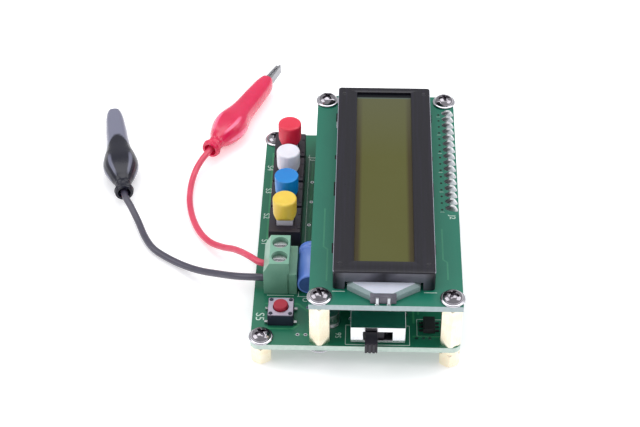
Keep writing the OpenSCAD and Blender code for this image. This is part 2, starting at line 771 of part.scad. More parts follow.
main_board();
display_board();
display_frame();
display_glass();
light_guide();
light_source();
contact_strips();
header_pins();
header_strip();
header_socket();
pillars();
legs();
board_screws();
yellow_switch_body();
blue_switch_body();
white_switch_body();
red_switch_body();
yellow_switch_stem();
blue_switch_stem();
white_switch_stem();
red_switch_stem();
yellow_cap();
blue_cap();
white_cap();
red_cap();
terminal_housing();
terminal_contacts();
red_terminal_screw();
black_terminal_screw();
red_terminal_cage();
black_terminal_cage();
tact_base();
tact_cover();
tact_plunger();
tact_legs();
power_switch_base();
power_switch_shell();
power_switch_lever();
blue_capacitor();
microcontroller();
comparator_chip();
regulator_chip();
crystal();
resistors();
trimmer_body();
trimmer_rotor();
power_socket();
red_lead();
black_lead();
red_boot();
black_boot();
red_clip_frame();
red_clip_jaw();
red_clip_pin();
red_clip_spring();
black_clip_frame();
black_clip_jaw();
black_clip_pin();
black_clip_spring();
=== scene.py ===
from math import radians, pi

import bmesh
import bpy
import numpy as np
from mathutils import Matrix, Vector


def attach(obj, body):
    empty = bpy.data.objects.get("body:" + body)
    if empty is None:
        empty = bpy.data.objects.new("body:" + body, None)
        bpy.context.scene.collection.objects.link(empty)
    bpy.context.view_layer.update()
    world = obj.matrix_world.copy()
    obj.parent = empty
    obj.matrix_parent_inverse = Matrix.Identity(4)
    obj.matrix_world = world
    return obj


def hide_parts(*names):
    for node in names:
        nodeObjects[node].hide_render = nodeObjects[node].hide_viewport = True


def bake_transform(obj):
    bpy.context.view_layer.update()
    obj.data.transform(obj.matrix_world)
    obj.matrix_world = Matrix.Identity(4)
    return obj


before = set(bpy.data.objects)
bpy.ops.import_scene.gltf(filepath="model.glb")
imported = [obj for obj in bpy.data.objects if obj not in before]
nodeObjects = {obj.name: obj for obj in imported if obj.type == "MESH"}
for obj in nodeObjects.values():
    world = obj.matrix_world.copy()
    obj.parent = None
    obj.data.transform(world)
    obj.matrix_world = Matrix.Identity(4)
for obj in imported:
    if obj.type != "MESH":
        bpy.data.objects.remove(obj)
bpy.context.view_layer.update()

mm = 0.001
scene = bpy.context.scene

print("camera")
cameraSet = {
    "place": (0.000605, -0.310471, 0.285380),
    "heading": 0.0324, "tip": -0.7195, "roll": 0.0051,   # radians, about Z, X and Y
    "lens": 91.96, "sensor": 36.0,
}
cameraData = bpy.data.cameras.new("benchCamera")
cameraData.lens = cameraSet["lens"]
cameraData.sensor_width = cameraSet["sensor"]
cameraData.clip_start = 0.01
cameraData.clip_end = 20
camera = bpy.data.objects.new("benchCamera", cameraData)
scene.collection.objects.link(camera)
turn = (
    Matrix.Rotation(cameraSet["heading"], 3, "Z")
    @ Matrix.Rotation(cameraSet["tip"], 3, "X")
    @ Matrix.Rotation(cameraSet["roll"], 3, "Y")
)
right, ahead, above = turn.col[0], turn.col[1], turn.col[2]
camera.matrix_world = Matrix((
    (right[0], above[0], -ahead[0], cameraSet["place"][0]),
    (right[1], above[1], -ahead[1], cameraSet["place"][1]),
    (right[2], above[2], -ahead[2], cameraSet["place"][2]),
    (0, 0, 0, 1),
))
scene.camera = camera


def skin(points, loopU=False, caps=(True, True)):
    # points[i, j] is the surface at (u_i, v_j), closed round v: quads join each point to its
    # neighbours on the grid, and a flat face closes the first and the last ring
    rows, cols = points.shape[:2]
    index = np.arange(rows * cols).reshape(rows, cols)
    first, last = index[0], index[-1]
    if loopU:
        index = np.vstack([index, index[:1]])
    index = np.hstack([index, index[:, :1]])
    quads = np.stack([index[:-1, :-1], index[:-1, 1:], index[1:, 1:], index[1:, :-1]], -1)
    faces = quads.reshape(-1, 4).tolist()
    if caps[0] and not loopU:
        faces.append(first[::-1].tolist())
    if caps[1] and not loopU:
        faces.append(last.tolist())
    return points.reshape(-1, 3), faces


def moved(part, shift=(0, 0, 0), turnZ=0.0, flip=False):
    # q = R(turnZ) p + shift, with R a half turn about X first where flip is set
    points, faces = part
    q = np.array(points, float)
    if flip:
        q = q * [1, -1, -1]
    c, s = np.cos(turnZ), np.sin(turnZ)
    q = q @ np.array([[c, s, 0], [-s, c, 0], [0, 0, 1]])
    return q + np.array(shift, float), faces


def pieceFrom(name, parts, material, body="meter", replaced=(), sharp=35, marks=None):
    # one mesh from several skins, each with its own points and faces, scaled to metres
    starts = np.cumsum([0] + [len(part[0]) for part in parts]).tolist()
    points = np.concatenate([part[0] for part in parts]) * mm
    faces = [[corner + start for corner in face] for part, start in zip(parts, starts) for face in part[1]]
    mesh = bpy.data.meshes.new(name)
    mesh.from_pydata(points.tolist(), [], faces)
    mesh.polygons.foreach_set("use_smooth", np.ones(len(mesh.polygons), bool))
    mesh.update()
    mesh.set_sharp_from_angle(angle=radians(sharp))
    if marks is not None:
        mesh.attributes.new("paintedLight", "FLOAT", "POINT").data.foreach_set("value", marks.astype(np.float32))
    piece = bpy.data.objects.new(name, mesh)
    scene.collection.objects.link(piece)
    piece.data.materials.append(material)
    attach(piece, body)
    if replaced:
        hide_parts(*replaced)
    return piece


def spareEdges(mesh, low, high):
    # bevel weight 1 on each sharp edge, and 0 where either end lies between the corners low and high
    isSharp = np.zeros(len(mesh.edges), bool)
    mesh.attributes["sharp_edge"].data.foreach_get("value", isSharp)
    ends = np.empty(2 * len(mesh.edges), np.int32)
    mesh.edges.foreach_get("vertices", ends)
    places = np.empty(3 * len(mesh.vertices))
    mesh.vertices.foreach_get("co", places)
    places = places.reshape(-1, 3)
    inBox = ((places >= low) & (places <= high)).all(1)
    weights = isSharp & ~inBox[ends.reshape(-1, 2)].any(1)
    layer = mesh.attributes.new("bevel_weight_edge", "FLOAT", "EDGE")
    layer.data.foreach_set("value", weights.astype(np.float32))


bevelSet = {"segments": 2, "sharp": radians(40), "merge": 1e-6, "flat": radians(1)}


def softened(node, material, width=0.12, body="meter", sparing=None):
    # a copy of the node's solid with merged points and flat faces, its edges rounded by width,
    # but not those that reach into the box sparing, two corners in metres
    mesh = nodeObjects[node].data.copy()
    for name in ("custom_normal", "sharp_face", "sharp_edge"):
        if name in mesh.attributes:
            mesh.attributes.remove(mesh.attributes[name])
    work = bmesh.new()
    work.from_mesh(mesh)
    bmesh.ops.remove_doubles(work, verts=work.verts, dist=bevelSet["merge"])
    bmesh.ops.dissolve_limit(work, angle_limit=bevelSet["flat"], verts=work.verts, edges=work.edges)
    work.to_mesh(mesh)
    work.free()
    mesh.materials.clear()
    mesh.materials.append(material)
    mesh.polygons.foreach_set("use_smooth", np.ones(len(mesh.polygons), bool))
    mesh.update()
    mesh.set_sharp_from_angle(angle=bevelSet["sharp"])
    if sparing:
        spareEdges(mesh, *sparing)
    piece = bpy.data.objects.new(node + "Soft", mesh)
    scene.collection.objects.link(piece)
    bevel = piece.modifiers.new("edges", "BEVEL")
    bevel.width = width * mm
    bevel.segments = bevelSet["segments"]
    bevel.limit_method = "WEIGHT" if sparing else "ANGLE"
    bevel.angle_limit = bevelSet["sharp"]
    bevel.use_clamp_overlap = True
    bevel.harden_normals = True
    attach(piece, body)
    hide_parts(node)
    return piece


def roundedOutline(w, d, r, arc=6, steps=(), centre=(0, 0)):
    # counter-clockwise rectangle w by d with quarter-circle corners of radius r; steps are
    # the fractions of each straight side that get a point of their own
    a = np.linspace(0, pi / 2, arc + 1)
    x, y = w / 2 - r, d / 2 - r
    corners = [(x, y, 0), (-x, y, pi / 2), (-x, -y, pi), (x, -y, 1.5 * pi)]
    arcs = [np.stack([cx + r * np.cos(a + t), cy + r * np.sin(a + t)], 1) for cx, cy, t in corners]
    f = np.array(steps, float).reshape(-1, 1)
    rows = []
    for k in range(4):
        rows.append(arcs[k])
        if len(f):
            start, end = arcs[k][-1], arcs[(k + 1) % 4][0]
            rows.append(start + (end - start) * f)
    return np.concatenate(rows) + np.array(centre)


def level(outline, z):
    # the outline's points (x, y) at the height z
    return np.column_stack([outline, np.full(len(outline), z)])


def stacked(w, d, r, layers, centre, arc):
    # rings of the outline at heights z, each drawn in by its inset: layers are (z, inset)
    rings = [level(roundedOutline(w - 2 * inset, d - 2 * inset, max(r - inset, 0.02), arc), z)
             for z, inset in layers]
    return np.array(rings) + np.array(centre, float)


def softBlock(w, d, low, high, r, edge, centre):
    # a block whose upright corners have radius r and whose other edges have radius edge
    a = np.linspace(0, pi / 2, 4)
    bottom = [(low + edge - edge * np.cos(t), edge - edge * np.sin(t)) for t in a]
    top = [(high - edge + edge * np.sin(t), edge - edge * np.cos(t)) for t in a]
    return skin(stacked(w, d, r, bottom + top, (*centre, 0), 5))


def turned(profile, centre=(0, 0, 0), sides=48, caps=(True, True)):
    # (r, z) turned about Z: x = r cos v, y = r sin v
    v = np.linspace(0, 2 * pi, sides, endpoint=False)
    r, z = np.array(profile, float).T
    points = np.stack([
        r[:, None] * np.cos(v), r[:, None] * np.sin(v), np.repeat(z[:, None], sides, 1)
    ], -1)
    return skin(points + np.array(centre, float), caps=caps)


def smoothPath(points, steps):
    # Catmull-Rom through the points p: 0.5 (2b + (c-a)u + (2a-5b+4c-d)u^2 + (3b-a-3c+d)u^3)
    p = np.array(points, float)
    a, b, c, d = np.vstack([p[:1], p[:-2]]), p[:-1], p[1:], np.vstack([p[2:], p[-1:]])
    u = (np.arange(steps) / steps)[None, :, None]
    a, b, c, d = (q[:, None, :] for q in (a, b, c, d))
    line = 0.5 * (
        2 * b + (c - a) * u + (2 * a - 5 * b + 4 * c - d) * u ** 2
        + (3 * b - a - 3 * c + d) * u ** 3
    )
    return np.vstack([line.reshape(-1, p.shape[1]), p[-1:]])


def carried(path, outline, up=(0, 0, 1)):
    # each outline point (s, h) goes to path + s * side + h * top, with side = ahead x up
    path = np.array(path, float)
    ahead = np.gradient(path, axis=0)
    ahead /= np.linalg.norm(ahead, axis=1)[:, None]
    side = np.cross(ahead, np.array(up, float))
    side /= np.linalg.norm(side, axis=1)[:, None]
    top = np.cross(side, ahead)
    o = np.array(outline, float)
    points = path[:, None] + o[None, :, 0:1] * side[:, None] + o[None, :, 1:2] * top[:, None]
    return skin(points)


def circle(r, sides):
    # (r cos v, r sin v) for v round one turn
    v = np.linspace(0, 2 * pi, sides, endpoint=False)
    return np.stack([r * np.cos(v), r * np.sin(v)], 1)


filmHeight = 0.02    # of ink and of copper under the mask


def ribbon(points, width, z):
    # a flat strip along corner points on the plane z, mitred at each corner
    p = np.array(points, float)
    d = np.diff(p, axis=0)
    d /= np.linalg.norm(d, axis=1)[:, None]
    n = np.stack([d[:, 1], -d[:, 0]], 1)
    first, last = np.vstack([n[:1], n]), np.vstack([n, n[-1:]])
    mitre = first + last
    mitre /= (np.sum(mitre * first, 1) + 1e-9)[:, None]
    rim = [(-1, 0), (1, 0), (1, filmHeight), (-1, filmHeight)]
    rings = np.stack([level(p + mitre * s * width / 2, z + h) for s, h in rim], 1)
    return skin(rings)


def mouldedPlastic(name, colour, deep, rough=0.35, grain=900.0, depth=0.15, coat=0.0, glow=0.0, lit=0.0):
    # moulded plastic: slow colour drift, fine spark-eroded grain and faint handling marks
    material = bpy.data.materials.new(name)
    material.use_nodes = True
    nodes, links = material.node_tree.nodes, material.node_tree.links
    nodes.clear()
    tintFrame = nodes.new("NodeFrame")
    tintFrame.label = "resin colour"
    sheenFrame = nodes.new("NodeFrame")
    sheenFrame.label = "handling marks"
    grainFrame = nodes.new("NodeFrame")
    grainFrame.label = "mould grain"
    place = nodes.new("ShaderNodeTexCoord")
    place.label = "place on the moulding"
    drift = nodes.new("ShaderNodeTexNoise")
    drift.label = "resin drift"
    drift.parent = tintFrame
    drift.inputs["Scale"].default_value = 160
    drift.inputs["Detail"].default_value = 3
    spread = nodes.new("ShaderNodeMapRange")
    spread.label = "drift strength"
    spread.parent = tintFrame
    spread.inputs["From Min"].default_value = 0.3
    spread.inputs["From Max"].default_value = 0.7
    tint = nodes.new("ShaderNodeMix")
    tint.label = "resin tint"
    tint.parent = tintFrame
    tint.data_type = "RGBA"
    tint.inputs["A"].default_value = (*colour, 1)
    tint.inputs["B"].default_value = (*deep, 1)
    smear = nodes.new("ShaderNodeTexNoise")
    smear.label = "finger smears"
    smear.parent = sheenFrame
    smear.inputs["Scale"].default_value = 420
    smear.inputs["Detail"].default_value = 5
    smear.inputs["Distortion"].default_value = 0.6
    sheen = nodes.new("ShaderNodeMapRange")
    sheen.label = "smears to roughness"
    sheen.parent = sheenFrame
    sheen.inputs["To Min"].default_value = rough * 0.8
    sheen.inputs["To Max"].default_value = min(rough * 1.3, 1)
    pits = nodes.new("ShaderNodeTexNoise")
    pits.label = "spark-eroded pits"
    pits.parent = grainFrame
    pits.inputs["Scale"].default_value = grain * 4
    pits.inputs["Detail"].default_value = 4
    pits.inputs["Roughness"].default_value = 0.6
    bump = nodes.new("ShaderNodeBump")
    bump.label = "pit depth"
    bump.parent = grainFrame
    bump.inputs["Strength"].default_value = depth
    bump.inputs["Distance"].default_value = 0.00003
    shader = nodes.new("ShaderNodeBsdfPrincipled")
    shader.label = "plastic"
    shader.inputs["Coat Weight"].default_value = coat
    shader.inputs["Coat Roughness"].default_value = 0.08
    shader.inputs["Subsurface Weight"].default_value = glow
    shader.inputs["Subsurface Scale"].default_value = 0.0006
    shader.inputs["Subsurface Radius"].default_value = (1, 0.6, 0.5)
    shader.inputs["Emission Color"].default_value = (1, 1, 1, 1)
    shader.inputs["Emission Strength"].default_value = lit
    out = nodes.new("ShaderNodeOutputMaterial")
    out.label = "surface"
    links.new(place.outputs["Object"], drift.inputs["Vector"])
    links.new(place.outputs["Object"], smear.inputs["Vector"])
    links.new(place.outputs["Object"], pits.inputs["Vector"])
    links.new(drift.outputs["Fac"], spread.inputs["Value"])
    links.new(spread.outputs["Result"], tint.inputs["Factor"])
    links.new(tint.outputs["Result"], shader.inputs["Base Color"])
    links.new(smear.outputs["Fac"], sheen.inputs["Value"])
    links.new(sheen.outputs["Result"], shader.inputs["Roughness"])
    links.new(pits.outputs["Fac"], bump.inputs["Height"])
    links.new(bump.outputs["Normal"], shader.inputs["Normal"])
    links.new(shader.outputs["BSDF"], out.inputs["Surface"])
    spots = ((-900, 0), (-700, 250), (-500, 250), (-300, 250), (-700, 0), (-500, 0),
             (-700, -250), (-300, -250), (0, 0), (300, 0))
    for node, spot in zip((place, drift, spread, tint, smear, sheen, pits, bump, shader, out), spots):
        node.location = spot
    return material


def platedMetal(name, colour, deep, rough=0.2, brush=(1, 1, 1), scale=700.0, depth=0.12, stain=0.3):
    # bare or plated metal: stretched brush lines, cloudy tarnish and uneven polish
    material = bpy.data.materials.new(name)
    material.use_nodes = True
    nodes, links = material.node_tree.nodes, material.node_tree.links
    nodes.clear()
    tarnishFrame = nodes.new("NodeFrame")
    tarnishFrame.label = "tarnish"
    polishFrame = nodes.new("NodeFrame")
    polishFrame.label = "polish and tool lines"
    place = nodes.new("ShaderNodeTexCoord")
    place.label = "place on the metal"
    stretch = nodes.new("ShaderNodeMapping")
    stretch.label = "direction of the tool lines"
    stretch.parent = polishFrame
    stretch.inputs["Scale"].default_value = brush
    cloud = nodes.new("ShaderNodeTexNoise")
    cloud.label = "tarnish clouds"
    cloud.parent = tarnishFrame
    cloud.inputs["Scale"].default_value = 260
    cloud.inputs["Detail"].default_value = 4
    cloudRange = nodes.new("ShaderNodeMapRange")
    cloudRange.label = "how much tarnish"
    cloudRange.parent = tarnishFrame
    cloudRange.inputs["From Min"].default_value = 0.4
    cloudRange.inputs["From Max"].default_value = 0.8
    cloudRange.inputs["To Max"].default_value = stain
    tint = nodes.new("ShaderNodeMix")
    tint.label = "metal colour"
    tint.parent = tarnishFrame
    tint.data_type = "RGBA"
    tint.inputs["A"].default_value = (*colour, 1)
    tint.inputs["B"].default_value = (*deep, 1)
    lines = nodes.new("ShaderNodeTexNoise")
    lines.label = "tool lines"
    lines.parent = polishFrame
    lines.inputs["Scale"].default_value = scale
    lines.inputs["Detail"].default_value = 5
    lines.inputs["Roughness"].default_value = 0.65
    polish = nodes.new("ShaderNodeMapRange")
    polish.label = "lines to roughness"
    polish.parent = polishFrame
    polish.inputs["To Min"].default_value = rough * 0.7
    polish.inputs["To Max"].default_value = min(rough * 1.5, 1)
    bump = nodes.new("ShaderNodeBump")
    bump.label = "line depth"
    bump.parent = polishFrame
    bump.inputs["Strength"].default_value = depth
    bump.inputs["Distance"].default_value = 0.00002
    shader = nodes.new("ShaderNodeBsdfPrincipled")
    shader.label = "metal"
    shader.inputs["Metallic"].default_value = 1
    out = nodes.new("ShaderNodeOutputMaterial")
    out.label = "surface"
    links.new(place.outputs["Object"], cloud.inputs["Vector"])
    links.new(place.outputs["Object"], stretch.inputs["Vector"])
    links.new(stretch.outputs["Vector"], lines.inputs["Vector"])
    links.new(cloud.outputs["Fac"], cloudRange.inputs["Value"])
    links.new(cloudRange.outputs["Result"], tint.inputs["Factor"])
    links.new(tint.outputs["Result"], shader.inputs["Base Color"])
    links.new(lines.outputs["Fac"], polish.inputs["Value"])
    links.new(polish.outputs["Result"], shader.inputs["Roughness"])
    links.new(lines.outputs["Fac"], bump.inputs["Height"])
    links.new(bump.outputs["Normal"], shader.inputs["Normal"])
    links.new(shader.outputs["BSDF"], out.inputs["Surface"])
    spots = ((-900, 0), (-700, -150), (-700, 250), (-500, 250), (-300, 250), (-500, -150),
             (-300, 0), (-300, -250), (0, 0), (300, 0))
    chain = (place, stretch, cloud, cloudRange, tint, lines, polish, bump, shader, out)
    for node, spot in zip(chain, spots):
        node.location = spot
    return material


def circuitBoard(name, mask, maskDeep, edge, pour=0.35):
    # glass-fibre board: solder mask over a faint weave on its two faces, bare resin on its edges
    material = bpy.data.materials.new(name)
    material.use_nodes = True
    nodes, links = material.node_tree.nodes, material.node_tree.links
    nodes.clear()
    maskFrame = nodes.new("NodeFrame")
    maskFrame.label = "solder mask"
    edgeFrame = nodes.new("NodeFrame")
    edgeFrame.label = "sawn edge"
    weaveFrame = nodes.new("NodeFrame")
    weaveFrame.label = "glass weave"
    place = nodes.new("ShaderNodeTexCoord")
    place.label = "place on the board"
    facing = nodes.new("ShaderNodeSeparateXYZ")
    facing.label = "which way the face looks"
    facing.parent = edgeFrame
    upright = nodes.new("ShaderNodeMath")
    upright.label = "distance from level"
    upright.parent = edgeFrame
    upright.operation = "ABSOLUTE"
    isFace = nodes.new("ShaderNodeMath")
    isFace.label = "face or edge"
    isFace.parent = edgeFrame
    isFace.operation = "GREATER_THAN"
    isFace.inputs[1].default_value = 0.5
    islands = nodes.new("ShaderNodeTexNoise")
    islands.label = "copper pour under the mask"
    islands.parent = maskFrame
    islands.inputs["Scale"].default_value = 70
    islands.inputs["Detail"].default_value = 1
    pourEdge = nodes.new("ShaderNodeMapRange")
    pourEdge.label = "edge of the pour"
    pourEdge.parent = maskFrame
    pourEdge.inputs["From Min"].default_value = 0.52
    pourEdge.inputs["From Max"].default_value = 0.54
    pourEdge.inputs["To Max"].default_value = pour
    maskTint = nodes.new("ShaderNodeMix")
    maskTint.label = "mask over copper and over resin"
    maskTint.parent = maskFrame
    maskTint.data_type = "RGBA"
    maskTint.inputs["A"].default_value = (*mask, 1)
    maskTint.inputs["B"].default_value = (*maskDeep, 1)
    layers = nodes.new("ShaderNodeTexNoise")
    layers.label = "glass layers in the edge"
    layers.parent = edgeFrame
    layers.inputs["Scale"].default_value = 900
    layers.inputs["Detail"].default_value = 4
    edgeTint = nodes.new("ShaderNodeMix")
    edgeTint.label = "edge colour"
    edgeTint.parent = edgeFrame
    edgeTint.data_type = "RGBA"
    edgeTint.inputs["A"].default_value = (*edge, 1)
    edgeTint.inputs["B"].default_value = (edge[0] * 0.6, edge[1] * 0.72, edge[2] * 0.68, 1)
    colour = nodes.new("ShaderNodeMix")
    colour.label = "edge or mask"
    colour.parent = edgeFrame
    colour.data_type = "RGBA"
    weave = nodes.new("ShaderNodeTexWave")
    weave.label = "glass strands along"
    weave.parent = weaveFrame
    weave.bands_direction = "X"
    weave.inputs["Scale"].default_value = 620
    weave.inputs["Distortion"].default_value = 1.5
    cross = nodes.new("ShaderNodeTexWave")
    cross.label = "glass strands across"
    cross.parent = weaveFrame
    cross.bands_direction = "Y"
    cross.inputs["Scale"].default_value = 620
    cross.inputs["Distortion"].default_value = 1.5
    cloth = nodes.new("ShaderNodeMath")
    cloth.label = "woven cloth"
    cloth.parent = weaveFrame
    cloth.operation = "ADD"
    bump = nodes.new("ShaderNodeBump")
    bump.label = "weave showing through"
    bump.parent = weaveFrame
    bump.inputs["Strength"].default_value = 0.12
    bump.inputs["Distance"].default_value = 0.00002
    gloss = nodes.new("ShaderNodeMapRange")
    gloss.label = "gloss of the mask"
    gloss.parent = maskFrame
    gloss.inputs["To Min"].default_value = 0.75
    gloss.inputs["To Max"].default_value = 0.34
    shader = nodes.new("ShaderNodeBsdfPrincipled")
    shader.label = "board"
    out = nodes.new("ShaderNodeOutputMaterial")
    out.label = "surface"
    for texture in (islands, layers, weave, cross):
        links.new(place.outputs["Object"], texture.inputs["Vector"])
    links.new(place.outputs["Normal"], facing.inputs["Vector"])
    links.new(facing.outputs["Z"], upright.inputs[0])
    links.new(upright.outputs["Value"], isFace.inputs[0])
    links.new(islands.outputs["Fac"], pourEdge.inputs["Value"])
    links.new(pourEdge.outputs["Result"], maskTint.inputs["Factor"])
    links.new(layers.outputs["Fac"], edgeTint.inputs["Factor"])
    links.new(isFace.outputs["Value"], colour.inputs["Factor"])
    links.new(edgeTint.outputs["Result"], colour.inputs["A"])
    links.new(maskTint.outputs["Result"], colour.inputs["B"])
    links.new(colour.outputs["Result"], shader.inputs["Base Color"])
    links.new(isFace.outputs["Value"], gloss.inputs["Value"])
    links.new(gloss.outputs["Result"], shader.inputs["Roughness"])
    links.new(weave.outputs["Fac"], cloth.inputs[0])
    links.new(cross.outputs["Fac"], cloth.inputs[1])
    links.new(cloth.outputs["Value"], bump.inputs["Height"])
    links.new(bump.outputs["Normal"], shader.inputs["Normal"])
    links.new(shader.outputs["BSDF"], out.inputs["Surface"])
    spots = ((-1300, 0), (-1100, 0), (-900, 0), (-700, 0), (-1100, 300), (-900, 300), (-700, 300),
             (-1100, -250), (-700, -250), (-450, 100), (-1100, -500), (-1100, -750), (-700, -600),
             (-450, -500), (-450, -150), (0, 0), (300, 0))
    for node, spot in zip((place, facing, upright, isFace, islands, pourEdge, maskTint, layers,
                           edgeTint, colour, weave, cross, cloth, bump, gloss, shader, out), spots):
        node.location = spot
    return material


def softVinyl(name, colour, deep, highlightTint, rough=0.22, glow=0.3, coat=0.4, gleam=0.5):
    # flexible vinyl: thick glossy colour, paler where the point attribute says a highlight is painted
    material = bpy.data.materials.new(name)
    material.use_nodes = True
    nodes, links = material.node_tree.nodes, material.node_tree.links
    nodes.clear()
    dyeFrame = nodes.new("NodeFrame")
    dyeFrame.label = "dye and rubbed ribs"
    skinFrame = nodes.new("NodeFrame")
    skinFrame.label = "moulded skin"
    place = nodes.new("ShaderNodeTexCoord")
    place.label = "place on the sleeve"
    # the share of painted highlight at each point
    paintedHighlight = nodes.new("ShaderNodeAttribute")
    paintedHighlight.label = "rubbed ribs"
    paintedHighlight.parent = dyeFrame
    paintedHighlight.attribute_name = "paintedLight"
    cloud = nodes.new("ShaderNodeTexNoise")
    cloud.label = "uneven dye"
    cloud.parent = dyeFrame
    cloud.inputs["Scale"].default_value = 240
    cloud.inputs["Detail"].default_value = 3
    dye = nodes.new("ShaderNodeMix")
    dye.label = "dye"
    dye.parent = dyeFrame
    dye.data_type = "RGBA"
    dye.inputs["A"].default_value = (*colour, 1)
    dye.inputs["B"].default_value = (*deep, 1)
    # the pale colour painted on as highlight
    highlightMix = nodes.new("ShaderNodeMix")
    highlightMix.label = "rubbed vinyl"
    highlightMix.parent = dyeFrame
    highlightMix.data_type = "RGBA"
    highlightMix.inputs["B"].default_value = (*highlightTint, 1)
    haze = nodes.new("ShaderNodeTexNoise")
    haze.label = "oily haze"
    haze.parent = skinFrame
    haze.inputs["Scale"].default_value = 260
    haze.inputs["Detail"].default_value = 2
    gloss = nodes.new("ShaderNodeMapRange")
    gloss.label = "haze to roughness"
    gloss.parent = skinFrame
    gloss.inputs["To Min"].default_value = rough * 0.7
    gloss.inputs["To Max"].default_value = rough * 1.6
    bump = nodes.new("ShaderNodeBump")
    bump.label = "skin unevenness"
    bump.parent = skinFrame
    bump.inputs["Strength"].default_value = 0.1
    bump.inputs["Distance"].default_value = 0.00004
    shader = nodes.new("ShaderNodeBsdfPrincipled")
    shader.label = "vinyl"
    shader.inputs["Subsurface Weight"].default_value = glow
    shader.inputs["Subsurface Scale"].default_value = 0.0015
    shader.inputs["Subsurface Radius"].default_value = (1, 0.25, 0.3)
    shader.inputs["Specular IOR Level"].default_value = gleam
    shader.inputs["Coat Weight"].default_value = coat
    shader.inputs["Coat Roughness"].default_value = 0.1
    out = nodes.new("ShaderNodeOutputMaterial")
    out.label = "surface"
    links.new(place.outputs["Object"], cloud.inputs["Vector"])
    links.new(place.outputs["Object"], haze.inputs["Vector"])
    links.new(cloud.outputs["Fac"], dye.inputs["Factor"])
    links.new(paintedHighlight.outputs["Fac"], highlightMix.inputs["Factor"])
    links.new(dye.outputs["Result"], highlightMix.inputs["A"])
    links.new(highlightMix.outputs["Result"], shader.inputs["Base Color"])
    links.new(haze.outputs["Fac"], gloss.inputs["Value"])
    links.new(gloss.outputs["Result"], shader.inputs["Roughness"])
    links.new(haze.outputs["Fac"], bump.inputs["Height"])
    links.new(bump.outputs["Normal"], shader.inputs["Normal"])
    links.new(shader.outputs["BSDF"], out.inputs["Surface"])
    spots = ((-900, 0), (-700, 450), (-700, 200), (-500, 200), (-250, 300), (-700, -200),
             (-450, -100), (-450, -350), (0, 0), (300, 0))
    for node, spot in zip((place, paintedHighlight, cloud, dye, highlightMix, haze, gloss, bump, shader, out), spots):
        node.location = spot
    return material


